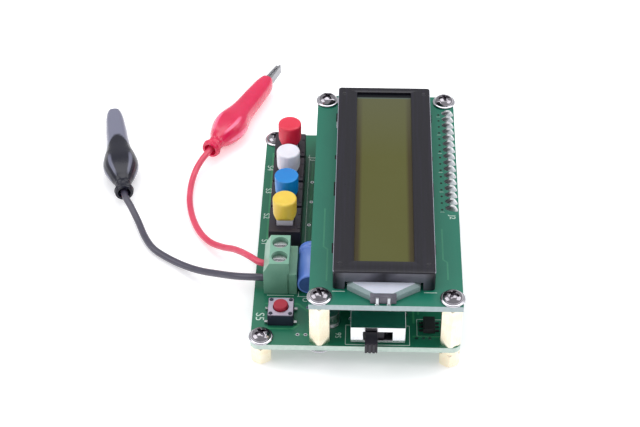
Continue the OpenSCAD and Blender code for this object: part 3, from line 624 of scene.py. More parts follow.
def paintedSteel(name, colour, deep, paintedShine, centre, dimple, rough=0.3):
    # stove paint on pressed steel: lengthwise rolling streaks, orange peel and a pressed dimple
    # near each corner, found from the distance of (|x|, |y|) to the dimple's place
    material = bpy.data.materials.new(name)
    material.use_nodes = True
    nodes, links = material.node_tree.nodes, material.node_tree.links
    nodes.clear()
    streakFrame = nodes.new("NodeFrame")
    streakFrame.label = "rolling streaks"
    peelFrame = nodes.new("NodeFrame")
    peelFrame.label = "orange peel"
    dimpleFrame = nodes.new("NodeFrame")
    dimpleFrame.label = "corner dimples"
    place = nodes.new("ShaderNodeTexCoord")
    place.label = "place on the frame"
    stretch = nodes.new("ShaderNodeMapping")
    stretch.label = "along the frame"
    stretch.parent = streakFrame
    stretch.inputs["Scale"].default_value = (1, 0.02, 1)
    streaks = nodes.new("ShaderNodeTexNoise")
    streaks.label = "streaks"
    streaks.parent = streakFrame
    streaks.inputs["Scale"].default_value = 1900
    streaks.inputs["Detail"].default_value = 3
    spread = nodes.new("ShaderNodeMapRange")
    spread.label = "streak strength"
    spread.parent = streakFrame
    spread.inputs["From Min"].default_value = 0.45
    spread.inputs["From Max"].default_value = 0.75
    tint = nodes.new("ShaderNodeMix")
    tint.label = "paint colour"
    tint.parent = streakFrame
    tint.data_type = "RGBA"
    tint.inputs["A"].default_value = (*deep, 1)
    tint.inputs["B"].default_value = (*colour, 1)
    peel = nodes.new("ShaderNodeTexNoise")
    peel.label = "orange peel ripple"
    peel.parent = peelFrame
    peel.inputs["Scale"].default_value = 1400
    peel.inputs["Detail"].default_value = 2
    gloss = nodes.new("ShaderNodeMapRange")
    gloss.label = "ripple to roughness"
    gloss.parent = peelFrame
    gloss.inputs["To Min"].default_value = rough * 0.8
    gloss.inputs["To Max"].default_value = rough * 1.3
    peelBump = nodes.new("ShaderNodeBump")
    peelBump.label = "ripple depth"
    peelBump.parent = peelFrame
    peelBump.inputs["Strength"].default_value = 0.15
    peelBump.inputs["Distance"].default_value = 0.00002
    shift = nodes.new("ShaderNodeVectorMath")
    shift.label = "from the frame's middle"
    shift.parent = dimpleFrame
    shift.operation = "SUBTRACT"
    shift.inputs[1].default_value = centre
    mirror = nodes.new("ShaderNodeVectorMath")
    mirror.label = "all four quarters alike"
    mirror.parent = dimpleFrame
    mirror.operation = "ABSOLUTE"
    flat = nodes.new("ShaderNodeVectorMath")
    flat.label = "in plan"
    flat.parent = dimpleFrame
    flat.operation = "MULTIPLY"
    flat.inputs[1].default_value = (1, 1, 0)
    reach = nodes.new("ShaderNodeVectorMath")
    reach.label = "distance to the dimple"
    reach.parent = dimpleFrame
    reach.operation = "DISTANCE"
    reach.inputs[1].default_value = (dimple[0], dimple[1], 0)
    dish = nodes.new("ShaderNodeMapRange")
    dish.label = "dimple's dish"
    dish.parent = dimpleFrame
    dish.interpolation_type = "SMOOTHSTEP"
    dish.inputs["From Min"].default_value = 0.0001
    dish.inputs["From Max"].default_value = 0.0007
    dishBump = nodes.new("ShaderNodeBump")
    dishBump.label = "dimple depth"
    dishBump.parent = dimpleFrame
    dishBump.inputs["Strength"].default_value = 0.8
    dishBump.inputs["Distance"].default_value = 0.00025
    # the point attribute of painted light mixes in a pale colour: a painted highlight on the edges and a
    # painted reflection on the near wall
    paintedHighlight = nodes.new("ShaderNodeAttribute")
    paintedHighlight.label = "rubbed long edges"
    paintedHighlight.parent = streakFrame
    paintedHighlight.attribute_name = "paintedLight"
    edgeTint = nodes.new("ShaderNodeMix")
    edgeTint.label = "bare steel on the edges"
    edgeTint.parent = streakFrame
    edgeTint.data_type = "RGBA"
    edgeTint.inputs["B"].default_value = (*paintedShine, 1)
    shader = nodes.new("ShaderNodeBsdfPrincipled")
    shader.label = "paint"
    shader.inputs["Specular IOR Level"].default_value = 0.4
    shader.inputs["Coat Weight"].default_value = 0.1
    shader.inputs["Coat Roughness"].default_value = 0.12
    out = nodes.new("ShaderNodeOutputMaterial")
    out.label = "surface"
    links.new(place.outputs["Object"], stretch.inputs["Vector"])
    links.new(stretch.outputs["Vector"], streaks.inputs["Vector"])
    links.new(streaks.outputs["Fac"], spread.inputs["Value"])
    links.new(spread.outputs["Result"], tint.inputs["Factor"])
    links.new(paintedHighlight.outputs["Fac"], edgeTint.inputs["Factor"])
    links.new(tint.outputs["Result"], edgeTint.inputs["A"])
    links.new(edgeTint.outputs["Result"], shader.inputs["Base Color"])
    links.new(place.outputs["Object"], peel.inputs["Vector"])
    links.new(peel.outputs["Fac"], gloss.inputs["Value"])
    links.new(gloss.outputs["Result"], shader.inputs["Roughness"])
    links.new(peel.outputs["Fac"], peelBump.inputs["Height"])
    links.new(place.outputs["Object"], shift.inputs[0])
    links.new(shift.outputs["Vector"], mirror.inputs[0])
    links.new(mirror.outputs["Vector"], flat.inputs[0])
    links.new(flat.outputs["Vector"], reach.inputs[0])
    links.new(reach.outputs["Value"], dish.inputs["Value"])
    links.new(dish.outputs["Result"], dishBump.inputs["Height"])
    links.new(peelBump.outputs["Normal"], dishBump.inputs["Normal"])
    links.new(dishBump.outputs["Normal"], shader.inputs["Normal"])
    links.new(shader.outputs["BSDF"], out.inputs["Surface"])
    spots = ((-1300, 0), (-1100, 300), (-900, 300), (-700, 300), (-500, 300), (-900, 0), (-500, 0),
             (-500, -200), (-1100, -450), (-950, -450), (-800, -450), (-650, -450), (-500, -450),
             (-300, -400), (-500, 500), (-250, 300), (0, 0), (300, 0))
    for node, spot in zip((place, stretch, streaks, spread, tint, peel, gloss, peelBump, shift,
                           mirror, flat, reach, dish, dishBump, paintedHighlight, edgeTint, shader, out), spots):
        node.location = spot
    return material


def displayFilm(name, film, margin, far, strip, band, middle, window):
    # the display's polariser under glass: margins along both sides, greyer towards the far end,
    # then a thin light band and a black strip, a painted shadow of the frame's far edge; each edge is a
    # step in |x - middle| or in y
    material = bpy.data.materials.new(name)
    material.use_nodes = True
    nodes, links = material.node_tree.nodes, material.node_tree.links
    nodes.clear()
    sideFrame = nodes.new("NodeFrame")
    sideFrame.label = "side margins"
    lengthFrame = nodes.new("NodeFrame")
    lengthFrame.label = "along the window"
    glassFrame = nodes.new("NodeFrame")
    glassFrame.label = "glass surface"
    place = nodes.new("ShaderNodeTexCoord")
    place.label = "place on the glass"
    axes = nodes.new("ShaderNodeSeparateXYZ")
    axes.label = "across and along"
    offset = nodes.new("ShaderNodeMath")
    offset.label = "from the middle line"
    offset.parent = sideFrame
    offset.operation = "SUBTRACT"
    offset.inputs[1].default_value = middle
    away = nodes.new("ShaderNodeMath")
    away.label = "either side alike"
    away.parent = sideFrame
    away.operation = "ABSOLUTE"
    waver = nodes.new("ShaderNodeTexNoise")
    waver.label = "uneven glue line"
    waver.parent = sideFrame
    waver.inputs["Scale"].default_value = 60
    waver.inputs["Detail"].default_value = 2
    edge = nodes.new("ShaderNodeMapRange")
    edge.label = "margin step"
    edge.parent = sideFrame
    edge.inputs["From Min"].default_value = window["margin"] - 0.0004
    edge.inputs["From Max"].default_value = window["margin"] + 0.0004
    sideTint = nodes.new("ShaderNodeMix")
    sideTint.label = "film and margins"
    sideTint.parent = sideFrame
    sideTint.data_type = "RGBA"
    sideTint.inputs["B"].default_value = (*margin, 1)
    filmTint = nodes.new("ShaderNodeMix")
    filmTint.label = "film clouds"
    filmTint.parent = sideFrame
    filmTint.data_type = "RGBA"
    filmTint.inputs["A"].default_value = (*film, 1)
    filmTint.inputs["B"].default_value = (film[0] * 1.06, film[1] * 1.08, film[2] * 1.25, 1)
    fade = nodes.new("ShaderNodeMapRange")
    fade.label = "greyer far end"
    fade.parent = lengthFrame
    fade.inputs["From Min"].default_value = 0.008
    fade.inputs["From Max"].default_value = 0.034
    fade.inputs["To Max"].default_value = 0.7
    farTint = nodes.new("ShaderNodeMix")
    farTint.label = "far end tint"
    farTint.parent = lengthFrame
    farTint.data_type = "RGBA"
    farTint.inputs["B"].default_value = (*far, 1)
    bandStep = nodes.new("ShaderNodeMath")
    bandStep.label = "start of the light band"
    bandStep.parent = lengthFrame
    bandStep.operation = "GREATER_THAN"
    bandStep.inputs[1].default_value = window["band"]
    bandTint = nodes.new("ShaderNodeMix")
    bandTint.label = "light band"
    bandTint.parent = lengthFrame
    bandTint.data_type = "RGBA"
    bandTint.inputs["B"].default_value = (*band, 1)
    # the black strip is a painted shadow of the frame's far edge
    stripStep = nodes.new("ShaderNodeMath")
    stripStep.label = "start of the black strip"
    stripStep.parent = lengthFrame
    stripStep.operation = "GREATER_THAN"
    stripStep.inputs[1].default_value = window["strip"]
    stripTint = nodes.new("ShaderNodeMix")
    stripTint.label = "black strip"
    stripTint.parent = lengthFrame
    stripTint.data_type = "RGBA"
    stripTint.inputs["B"].default_value = (*strip, 1)
    dust = nodes.new("ShaderNodeTexNoise")
    dust.label = "dust and wipe marks"
    dust.parent = glassFrame
    dust.inputs["Scale"].default_value = 260
    dust.inputs["Detail"].default_value = 5
    gloss = nodes.new("ShaderNodeMapRange")
    gloss.label = "marks to roughness"
    gloss.parent = glassFrame
    gloss.inputs["To Min"].default_value = 0.28
    gloss.inputs["To Max"].default_value = 0.4
    bump = nodes.new("ShaderNodeBump")
    bump.label = "film ripple"
    bump.parent = glassFrame
    bump.inputs["Strength"].default_value = 0.04
    bump.inputs["Distance"].default_value = 0.00002
    shader = nodes.new("ShaderNodeBsdfPrincipled")
    shader.label = "film"
    shader.inputs["Specular IOR Level"].default_value = 0.2
    out = nodes.new("ShaderNodeOutputMaterial")
    out.label = "surface"
    for texture in (waver, dust):
        links.new(place.outputs["Object"], texture.inputs["Vector"])
    links.new(place.outputs["Object"], axes.inputs["Vector"])
    links.new(axes.outputs["X"], offset.inputs[0])
    links.new(offset.outputs["Value"], away.inputs[0])
    links.new(away.outputs["Value"], edge.inputs["Value"])
    links.new(waver.outputs["Fac"], filmTint.inputs["Factor"])
    links.new(edge.outputs["Result"], sideTint.inputs["Factor"])
    links.new(filmTint.outputs["Result"], sideTint.inputs["A"])
    links.new(axes.outputs["Y"], fade.inputs["Value"])
    links.new(fade.outputs["Result"], farTint.inputs["Factor"])
    links.new(sideTint.outputs["Result"], farTint.inputs["A"])
    links.new(axes.outputs["Y"], bandStep.inputs[0])
    links.new(bandStep.outputs["Value"], bandTint.inputs["Factor"])
    links.new(farTint.outputs["Result"], bandTint.inputs["A"])
    links.new(axes.outputs["Y"], stripStep.inputs[0])
    links.new(stripStep.outputs["Value"], stripTint.inputs["Factor"])
    links.new(bandTint.outputs["Result"], stripTint.inputs["A"])
    links.new(stripTint.outputs["Result"], shader.inputs["Base Color"])
    links.new(dust.outputs["Fac"], gloss.inputs["Value"])
    links.new(gloss.outputs["Result"], shader.inputs["Roughness"])
    links.new(dust.outputs["Fac"], bump.inputs["Height"])
    links.new(bump.outputs["Normal"], shader.inputs["Normal"])
    links.new(shader.outputs["BSDF"], out.inputs["Surface"])
    spots = ((-1900, 0), (-1700, 0), (-1500, 200), (-1300, 200), (-1500, 450), (-1100, 200),
             (-900, 300), (-1100, 450), (-1100, -50), (-700, 200), (-700, -50), (-500, 150),
             (-500, -100), (-300, 100), (-700, -350), (-300, -300), (-300, -500), (0, 0), (300, 0))
    for node, spot in zip((place, axes, offset, away, waver, edge, sideTint, filmTint, fade, farTint,
                           bandStep, bandTint, stripStep, stripTint, dust, gloss, bump, shader, out),
                          spots):
        node.location = spot
    return material


def tone(red, green, blue):
    # a colour as seen, 0 to 255, to linear light: ((c + 0.055) / 1.055)^2.4, or c / 12.92 when dark
    c = np.array([red, green, blue]) / 255
    return tuple(np.where(c <= 0.04045, c / 12.92, ((c + 0.055) / 1.055) ** 2.4).tolist())


print("leads")
leadSet = {
    "red": {
        "radius": 0.85, "exit": (-22.6, -14.8, 9.5), "tint": tone(232, 78, 108), "deep": tone(205, 40, 78),
        "route": [
            (-19.2, -14.81, 9.5), (-20.8, -14.8, 9.5), (-22.4, -14.8, 9.5), (-24.2, -14.2, 9.4),
            (-26.4, -12, 9), (-28.7, -8.9, 7.6), (-31.3, -5.5, 5.6), (-34.6, -2.1, 3.2),
            (-38.1, 1.6, 1.5), (-41.2, 6.2, 0.95), (-43.5, 12, 0.9), (-44.8, 18.6, 0.9),
            (-44.9, 25, 1.1), (-44.1, 29.8, 1.9), (-42.6, 33.2, 3), (-40.9, 36.3, 3.5),
            (-39.48, 39.44, 3.5), (-36.6, 45, 3.5), (-32.86, 50.6, 3.5),
        ],
    },
    "black": {
        "radius": 0.9, "exit": (-22.6, -19.9, 9.5), "tint": tone(74, 70, 88), "deep": tone(50, 48, 64),
        "route": [
            (-19.2, -19.89, 9.5), (-20.8, -19.9, 9.5), (-22.4, -19.9, 9.5), (-24.4, -19.7, 9.4),
            (-27.2, -19, 8.8), (-30.4, -17.4, 7.5), (-34.6, -14.4, 5.3), (-39.6, -10.8, 2.9),
            (-44.4, -7.2, 1.4), (-49, -3.8, 0.95), (-52.6, -0.6, 0.95), (-55.2, 3.8, 0.95),
            (-57.4, 9, 1.4), (-59.7, 13.4, 2.6), (-61.7, 17, 3.4), (-62.6, 20.94, 3.5),
            (-62.9, 24, 3.5), (-62.6, 26.8, 3.5),
        ],
    },
}
# each clip's pale colour is painted on: a highlight along the ribs, and on the black boot's front a
# reflection
clipSet = {
    "red": {"at": (-40.7, 36.7, 3.5), "turn": radians(66), "pivot": 25.3,
            "tint": tone(236, 34, 92), "deep": tone(206, 12, 66), "highlightTint": tone(250, 110, 150),
            "glow": 0.2, "coat": 0.4, "gleam": 0.5},
    "black": {"at": (-61.996, 18, 3.5), "turn": radians(101.5), "pivot": 18.2,
              "tint": tone(30, 31, 46), "deep": tone(22, 22, 34), "highlightTint": tone(120, 121, 140),
              "glow": 0.0, "coat": 0.1, "gleam": 0.35},
}
# distance from the back end, half width, half height, inner half width and height, squareness
bootRings = [
    (0, 2.3, 2.3, 1.7, 1.7, 1), (0.7, 2.5, 2.5, 1.6, 1.6, 1), (1.5, 2.4, 2.4, 1.2, 1.2, 1),
    (2.3, 2, 2, 0.95, 0.95, 1), (3.6, 2, 1.95, 0.95, 0.95, 1), (5, 2.5, 2.2, 1.7, 1.6, 0.9),
    (6.5, 3.2, 2.7, 2.7, 2.2, 0.8), (9.5, 4.2, 3.2, 3.7, 2.75, 0.7), (12, 4.5, 3.4, 4.05, 2.95, 0.7),
    (14.5, 4.2, 3.3, 3.75, 2.85, 0.7), (17.5, 3.4, 3, 2.95, 2.55, 0.7), (21, 3, 2.75, 2.55, 2.3, 0.7),
    (26, 2.8, 2.6, 2.35, 2.15, 0.7), (31, 2.5, 2.45, 2.05, 2, 0.7), (33.4, 2.15, 2.3, 1.7, 1.85, 0.7),
    (34.5, 1.75, 2.2, 1.35, 1.8, 0.7),
]
clipSteel = platedMetal("clipSteel", tone(168, 168, 172), tone(110, 108, 112), rough=0.34,
                        brush=(1, 0.2, 1), scale=900, depth=0.25, stain=0.5)


def bootSkin(colour, start, end):
    # at each distance t from start to end the section is w sgn(cos v)|cos v|^p by h sgn(sin v)|sin v|^p,
    # with folds round the cuff and six raised ribs along the bulb; the returned share is painted highlight,
    # 1 on the ribs' tops
    whole = smoothPath(bootRings, 6)
    inside = whole[(whole[:, 0] > start) & (whole[:, 0] < end), 0]
    stations = np.concatenate([[start], inside, [end]])
    rings = np.column_stack([np.interp(stations, whole[:, 0], column) for column in whole.T])
    v = np.linspace(0, 2 * pi, 72, endpoint=False)
    t, w, h, wi, hi, p = rings.T[:, :, None]
    cosV, sinV = np.cos(v)[None], np.sin(v)[None]
    sideways = np.sign(cosV) * np.abs(cosV) ** p
    upward = np.sign(sinV) * np.abs(sinV) ** p
    fold = 0.13 * np.sin(2 * pi * t / 0.85) * np.clip((4.4 - t) / 0.8, 0, 1) * np.clip(t / 0.5, 0, 1)
    length = np.clip(1 - ((t - 9.3) / 4.8) ** 2, 0, 1)
    across = np.exp(-((np.mod(v + pi / 6, pi / 3) - pi / 6) / 0.2) ** 2)[None]
    rib = length ** 0.5 * across
    swell = 1 + (fold + 0.28 * rib) / np.maximum(w, 2)
    skinOut = np.stack([t + 0 * v, w * sideways * swell, h * upward * swell], -1)
    skinIn = np.stack([t + 0 * v, wi * sideways, hi * upward], -1)[::-1]
    points = np.concatenate([skinOut, skinIn])
    # painted highlight along the tops of the ribs
    paintedLight = np.clip(rib * 3.2 - 1.4, 0, 1)
    # on the black boot everything ahead of an arched line is painted pale too: a painted reflection of the
    # studio light
    if colour == "black":
        arch = 21.8 - 5.5 * np.abs(cosV) ** 1.5
        paintedLight = np.maximum(paintedLight * 0.85, np.clip((t - arch) / 0.8, 0, 1) + 0 * v)
    marks = np.concatenate([paintedLight + 0 * t, np.zeros_like(paintedLight + 0 * t)]).ravel()
    return skin(points, loopU=True), marks


for colour, facts in leadSet.items():
    clip = clipSet[colour]
    path = smoothPath(facts["route"], 6)
    sheath = softVinyl(colour + "Sheath", facts["tint"], facts["deep"], facts["tint"], rough=0.38,
                       glow=0.12)
    lead = pieceFrom(colour + "Lead", [carried(path, circle(facts["radius"], 20))], sheath,
                     replaced=[colour + "_lead"], sharp=60)
    vinyl = softVinyl(colour + "Vinyl", clip["tint"], clip["deep"], clip["highlightTint"], rough=0.2,
                      glow=clip["glow"], coat=clip["coat"], gleam=clip["gleam"])
    # the bulb stays with the frame of the clip; ahead of the hinge the sleeve is a piece of its own, left
    # without a parent
    shape, marks = bootSkin(colour, bootRings[0][0], clip["pivot"])
    bulb = pieceFrom(colour + "Bulb", [moved(shape, clip["at"], clip["turn"])], vinyl,
                     sharp=60, marks=marks)
    shape, marks = bootSkin(colour, clip["pivot"], bootRings[-1][0])
    boot = pieceFrom(colour + "Boot", [moved(shape, clip["at"], clip["turn"])], vinyl,
                     replaced=[colour + "_boot"], sharp=60, marks=marks)
    boot.parent = None
    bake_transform(boot)
    steel = [
        softened(colour + "_clip_frame", clipSteel, 0.06),
        softened(colour + "_clip_jaw", clipSteel, 0.06, body=colour + "_jaw"),
        softened(colour + "_clip_pin", clipSteel, 0.08),
        softened(colour + "_clip_spring", clipSteel, 0.05),
    ]


print("boards")
boardSet = {
    "mainTop": 6.6, "mainUnder": 5.0, "panelTop": 20.2, "panelUnder": 18.6,
    "mainMask": tone(30, 114, 86), "mainDeep": tone(22, 100, 76), "mainEdge": tone(222, 234, 226),
    "panelMask": tone(22, 114, 92), "panelDeep": tone(18, 104, 86), "panelEdge": tone(196, 206, 210),
}
mainGreen = circuitBoard("mainBoardGreen", boardSet["mainMask"], boardSet["mainDeep"], boardSet["mainEdge"])
panelGreen = circuitBoard("displayBoardGreen", boardSet["panelMask"], boardSet["panelDeep"],
                          boardSet["panelEdge"], pour=0.2)
softened("main_board", mainGreen, 0.08)
softened("display_board", panelGreen, 0.06)
traceGreen = mouldedPlastic("maskedCopper", tone(60, 148, 104), tone(46, 132, 92), rough=0.4, depth=0.05)
panelTrace = mouldedPlastic("panelCopper", tone(50, 136, 106), tone(44, 126, 98), rough=0.4, depth=0.05)
inkWhite = mouldedPlastic("boardInk", tone(214, 232, 222), tone(190, 214, 202), rough=0.6, depth=0.1)
solder = platedMetal("solder", tone(205, 208, 212), tone(120, 124, 130), rough=0.22, scale=900,
                     depth=0.3, stain=0.45)
headerTin = platedMetal("headerTin", tone(240, 242, 244), tone(168, 172, 178), rough=0.28, scale=900,
                        depth=0.15, stain=0.25)
# painted shade for the mouths of holes and slots
paintedHoleShade = mouldedPlastic("paintedHoleShade", tone(22, 30, 28), tone(12, 18, 16), rough=0.7, depth=0.1)


def rectangle(x0, y0, x1, y1, width, z):
    # four ribbons round a rectangle
    corners = [(x0, y0), (x1, y0), (x1, y1), (x0, y1), (x0, y0)]
    return [ribbon(corners[side:side + 2], width, z) for side in range(4)]


def lettering(words, z):
    # each word (text, x, y, height, turn) is outlined with the built-in font, then turned about
    # its own middle and set on the plane z
    parts = []
    for text, x, y, height, angle in words:
        curve = bpy.data.curves.new("word", "FONT")
        curve.body = text
        curve.size = height * 1.35
        curve.align_x = "CENTER"
        curve.align_y = "CENTER"
        curve.extrude = 0.01
        curve.resolution_u = 3
        holder = bpy.data.objects.new("word", curve)
        scene.collection.objects.link(holder)
        bpy.context.view_layer.update()
        mesh = bpy.data.meshes.new_from_object(holder.evaluated_get(bpy.context.evaluated_depsgraph_get()))
        flat = np.empty(len(mesh.vertices) * 3)
        mesh.vertices.foreach_get("co", flat)
        faces = [list(p.vertices) for p in mesh.polygons]
        parts.append(moved((flat.reshape(-1, 3), faces), (x, y, z), radians(angle)))
        bpy.data.objects.remove(holder)
        bpy.data.curves.remove(curve)
        bpy.data.meshes.remove(mesh)
    return parts


def solderDome(x, y, z, r, h, pin=0.3, flip=False):
    # concave fillet r(s) = r - (r - pin) sqrt(s) up to a pin's tip
    s = np.linspace(0, 1, 6)
    profile = [(r - (r - pin) * k ** 0.5, h * k * 0.8) for k in s] + [(pin * 0.9, h), (pin * 0.4, h + 0.05)]
    return moved(turned(profile, sides=14), (x, y, z), flip=flip)


def solderRing(x, y, z, r0, r1):
    # a tinned ring between radii r0 and r1
    return turned([(r0, 0.0), (r0, 0.03), (r1, 0.03), (r1, 0.0)], (x, y, z), sides=16, caps=(False, False))


def holeShadeDisc(x, y, z, r):
    # a dark round patch of painted shade for the mouth of a plated hole
    return turned([(r, 0.0), (r, 0.015)], (x, y, z), sides=12)


top, under = boardSet["mainTop"], boardSet["mainUnder"]
inkSet = {
    "boxes": [   # x0, y0, x1, y1, line width: power switch, regulator, comparator and trimmer
        (-2.35, -39.4, 12.9, -32.9, 0.16), (14.7, -36.2, 20.6, -30.6, 0.14),
        (-10.1, -13.4, -0.9, -6.6, 0.14), (-9.2, 22.8, -0.8, 31.2, 0.14),
    ],
    "strokes": [   # start, end, line width: by the terminal, the capacitor and the switches
        ((-21.8, -23.1), (-15.2, -23.1), 0.16), ((-14.4, -23.4), (-9.4, -23.4), 0.16),
        ((-14.1, -23.4), (-14.1, -21.6), 0.16), ((-13.2, 31.4), (-13.2, -7.6), 0.14),
    ],
}
resistorSet = {"first": -30.8, "pitch": 3.0, "count": 3}
resistorRows = resistorSet["first"] + resistorSet["pitch"] * np.arange(resistorSet["count"])
inkMain = []
for x0, y0, x1, y1, width in inkSet["boxes"]:
    inkMain += rectangle(x0, y0, x1, y1, width, top)
for start, end, width in inkSet["strokes"]:
    inkMain.append(ribbon([start, end], width, top))
for y in resistorRows:
    inkMain.append(ribbon([(0.3, y - 1.25), (6.7, y - 1.25)], 0.12, top))
inkMain += lettering([
    ("S4", -23.5, 25.6, 1.7, -90), ("S3", -23.5, 16.2, 1.7, -90), ("S2", -23.5, 6.2, 1.7, -90),
    ("S1", -23.5, -3.8, 1.7, -90), ("J1", -23.6, -11.0, 1.6, -90), ("S5", -23.2, -30.6, 2.2, -90),
    ("S6", -4.0, -36.4, 1.5, 90), ("Q1", 21.8, -34.6, 1.4, 90), ("C1", -12.0, -24.6, 1.4, 0),
    ("J3", -12.3, 29.6, 1.7, -90), ("R2", 9.9, -27.8, 1.2, 0), ("R1", 9.9, -30.8, 1.2, 0),
    ("U2", -1.6, -14.6, 1.2, 0),
], top + 0.012)
pieceFrom("mainBoardInk", inkMain, inkWhite)

traceRoutes = [
    [(-14.5, -36.4), (-9, -36.4), (-6.5, -34), (-6.5, -31)], [(13.6, -36.4), (20, -36.4), (22.5, -34)],
    [(-22, -26), (-14, -26), (-11, -29), (-11, -34)], [(-21, -34.5), (-15, -34.5), (-13.5, -33)],
    [(-12.2, 28), (-12.2, -5), (-10, -7.2)], [(-11.4, 30), (-11.4, -3), (-9.6, -4.8)],
    [(-22.9, 32), (-22.9, -8)], [(13.9, -32), (13.9, -26), (20, -20), (20, 10)],
    [(15.1, -29), (15.1, -26.5), (21.2, -20.4), (21.2, 12)], [(-3, 12), (-3, 20), (2, 25), (12, 25)],
    [(-2, 10), (-2, 19), (3, 24), (13, 24)], [(0, -8), (4, -12), (4, -21)], [(8, -5), (8, -20)],
    [(10, -5), (10, -18), (14, -22)], [(-7.5, -2), (-7.5, 14), (-5, 16.5), (-5, 22)],
]
copper = [ribbon(route, 0.5, top) for route in traceRoutes]
underRoutes = [[(x * 0.92 + 1, y * 0.94 - 1) for x, y in route] for route in traceRoutes]
copper += [ribbon(route, 0.6, under - filmHeight) for route in underRoutes]
pieceFrom("boardCopper", copper, traceGreen)
panelRoutes = [
    [(-8, -6), (-8, -20), (-7, -21), (-7, -32)], [(20.6, -13), (20.6, -24), (21.6, -25), (21.6, -31)],
]
pieceFrom("displayCopper", [ribbon(route, 0.4, boardSet["panelTop"]) for route in panelRoutes], panelTrace)

headerSet = {"x": 23.5, "y": 32.6, "pitch": 2.54, "pins": 16}
headerRows = headerSet["y"] - headerSet["pitch"] * np.arange(headerSet["pins"])
vias = [(-13.8, -36.4), (-11.9, -36.4), (-10.2, -36.4), (14.6, -36.9), (16.2, -36.9), (17.7, -36.9),
        (8.6, -31.9), (10.6, -31.9), (-11.6, -27.2), (12.2, -29), (-12.1, 20), (-12.1, 12), (-12.4, 3)]
joints = [(headerSet["x"], y) for y in headerRows]
joints += [(-18.1 + dx, y + dy) for y in (-3.5, 6.5, 16.5, 26.5) for dx in (-2.5, 2.5)
           for dy in (-2.5, 0, 2.5)]
joints += [(-17, -14.81), (-17, -19.89), (-21.8, -28.25), (-21.8, -32.75), (-14.2, -28.25), (-14.2, -32.75)]
joints += [(2.85, -36), (5.35, -36), (7.85, -36), (-1, -34), (-1, -38), (11.7, -34), (11.7, -38)]
joints += [(-12.6, -8.3), (-10.1, -8.3), (-6.05, -31.3), (-6.05, -26.5), (0.9, 35), (7.1, 35)]
joints += [(-1, y) for y in resistorRows] + [(8, y) for y in resistorRows]
joints += [(-7.4, 24.6), (-2.6, 24.6), (-5, 29.4)]
metalParts = [solderRing(x, y, top, 0.22, 0.48) for x, y in vias]
metalParts += [solderDome(x, y, under, 0.95, 0.9, flip=True) for x, y in joints]
metalParts += [solderDome(x, y, top, 0.75, 0.35, 0.3) for x, y in joints[-12:]]
pieceFrom("solderJoints", metalParts, solder)
# painted shade in the vias' mouths
pieceFrom("viaMouths", [holeShadeDisc(x, y, top + 0.02, 0.22) for x, y in vias], paintedHoleShade)


print("display")
displaySet = {"padLong": 1.1, "padWide": 0.36, "pinLong": 0.44, "pinWide": 0.4, "rise": 1.06,
              "lean": 0.25, "skew": 0.28, "viaX": 20.9, "viaDown": 0.35}
panel = boardSet["panelTop"]


def headerPad(facts, x, y, z):
    # solder drawn up a pin: at the share q of its rise each half width is pad (1 - q)^0.7 + pin, the
    # section is a rounded box sheared by skew, and the whole leans over as it rises
    q = np.linspace(0, 1, 7)[:, None]
    v = np.linspace(0, 2 * pi, 20, endpoint=False)
    spread = (1 - q) ** 0.7
    boxCos = np.sign(np.cos(v)) * np.abs(np.cos(v)) ** 0.6
    boxSin = np.sign(np.sin(v)) * np.abs(np.sin(v)) ** 0.6
    along = (facts["padLong"] * spread + facts["pinLong"]) * boxCos
    across = (facts["padWide"] * spread + facts["pinWide"]) * boxSin - facts["skew"] * along
    height = facts["rise"] * q ** 1.2 + 0 * v
    return skin(np.stack([x + facts["lean"] * (q - 1) + along, y + across, z + height], -1))


padParts = [headerPad(displaySet, headerSet["x"], y, panel + 0.02) for y in headerRows]
viaHeight = panel + 0.01
# painted shade in the pin holes
pinHoles = [holeShadeDisc(displaySet["viaX"], y - displaySet["viaDown"], viaHeight, 0.3) for y in headerRows]
inkPanel = [ribbon([(20.4, y - 1.2), (21.4, y - 1.2)], 0.1, panel) for y in headerRows[::3]]
pieceFrom("headerSolder", padParts, headerTin)
pieceFrom("displayVias", pinHoles, paintedHoleShade)
slotSet = {
    "edges": (-5.5, 18.5), "lugAt": 27.2,
    "slots": ((30.5, 3.6), (14.0, 1.6), (1.5, 5.4), (-20.5, 3.6)),   # middle in y, length
}
# the slots beside the frame's edges are dark ribbons of painted shade
slotMouths, lugEnds = [], []
for side, x in zip((-1, 1), slotSet["edges"]):
    beside = x + side * 0.28
    for y, long in slotSet["slots"]:
        slotMouths.append(ribbon([(beside, y - long / 2), (beside, y + long / 2)], 0.5, panel))
    lugPlace = (x + side * 0.24, slotSet["lugAt"])
    lugEnds.append(softBlock(0.3, 2.6, panel + 0.02, panel + 0.3, 0.1, 0.08, lugPlace))
pieceFrom("frameSlots", slotMouths, paintedHoleShade)
pieceFrom("frameLugs", lugEnds, solder)
inkPanel += [ribbon([(x, -35.4), (x + 3, -35.4)], 0.18, panel) for x in (-5.6, 15.9)]
inkPanel += lettering([("J2", 23.3, -8.6, 1.5, -90)], panel + 0.012)
pieceFrom("displayBoardInk", inkPanel, inkWhite)

# two of these shares are painted light: a highlight on the long top edges and a reflection on the near wall
frameSet = {
    "wide": 24.0, "deep": 71.3, "centre": (6.5, 1.0), "low": 20.2, "high": 25.7, "wall": 0.6, "round": 0.35,
    "window": (14.1, 65.2), "windowAt": (6.45, 1.9), "notchHigh": 22.65, "foot": 2.8, "edgeHighlight": 0.75,
    "wallSheen": 0.16,
}


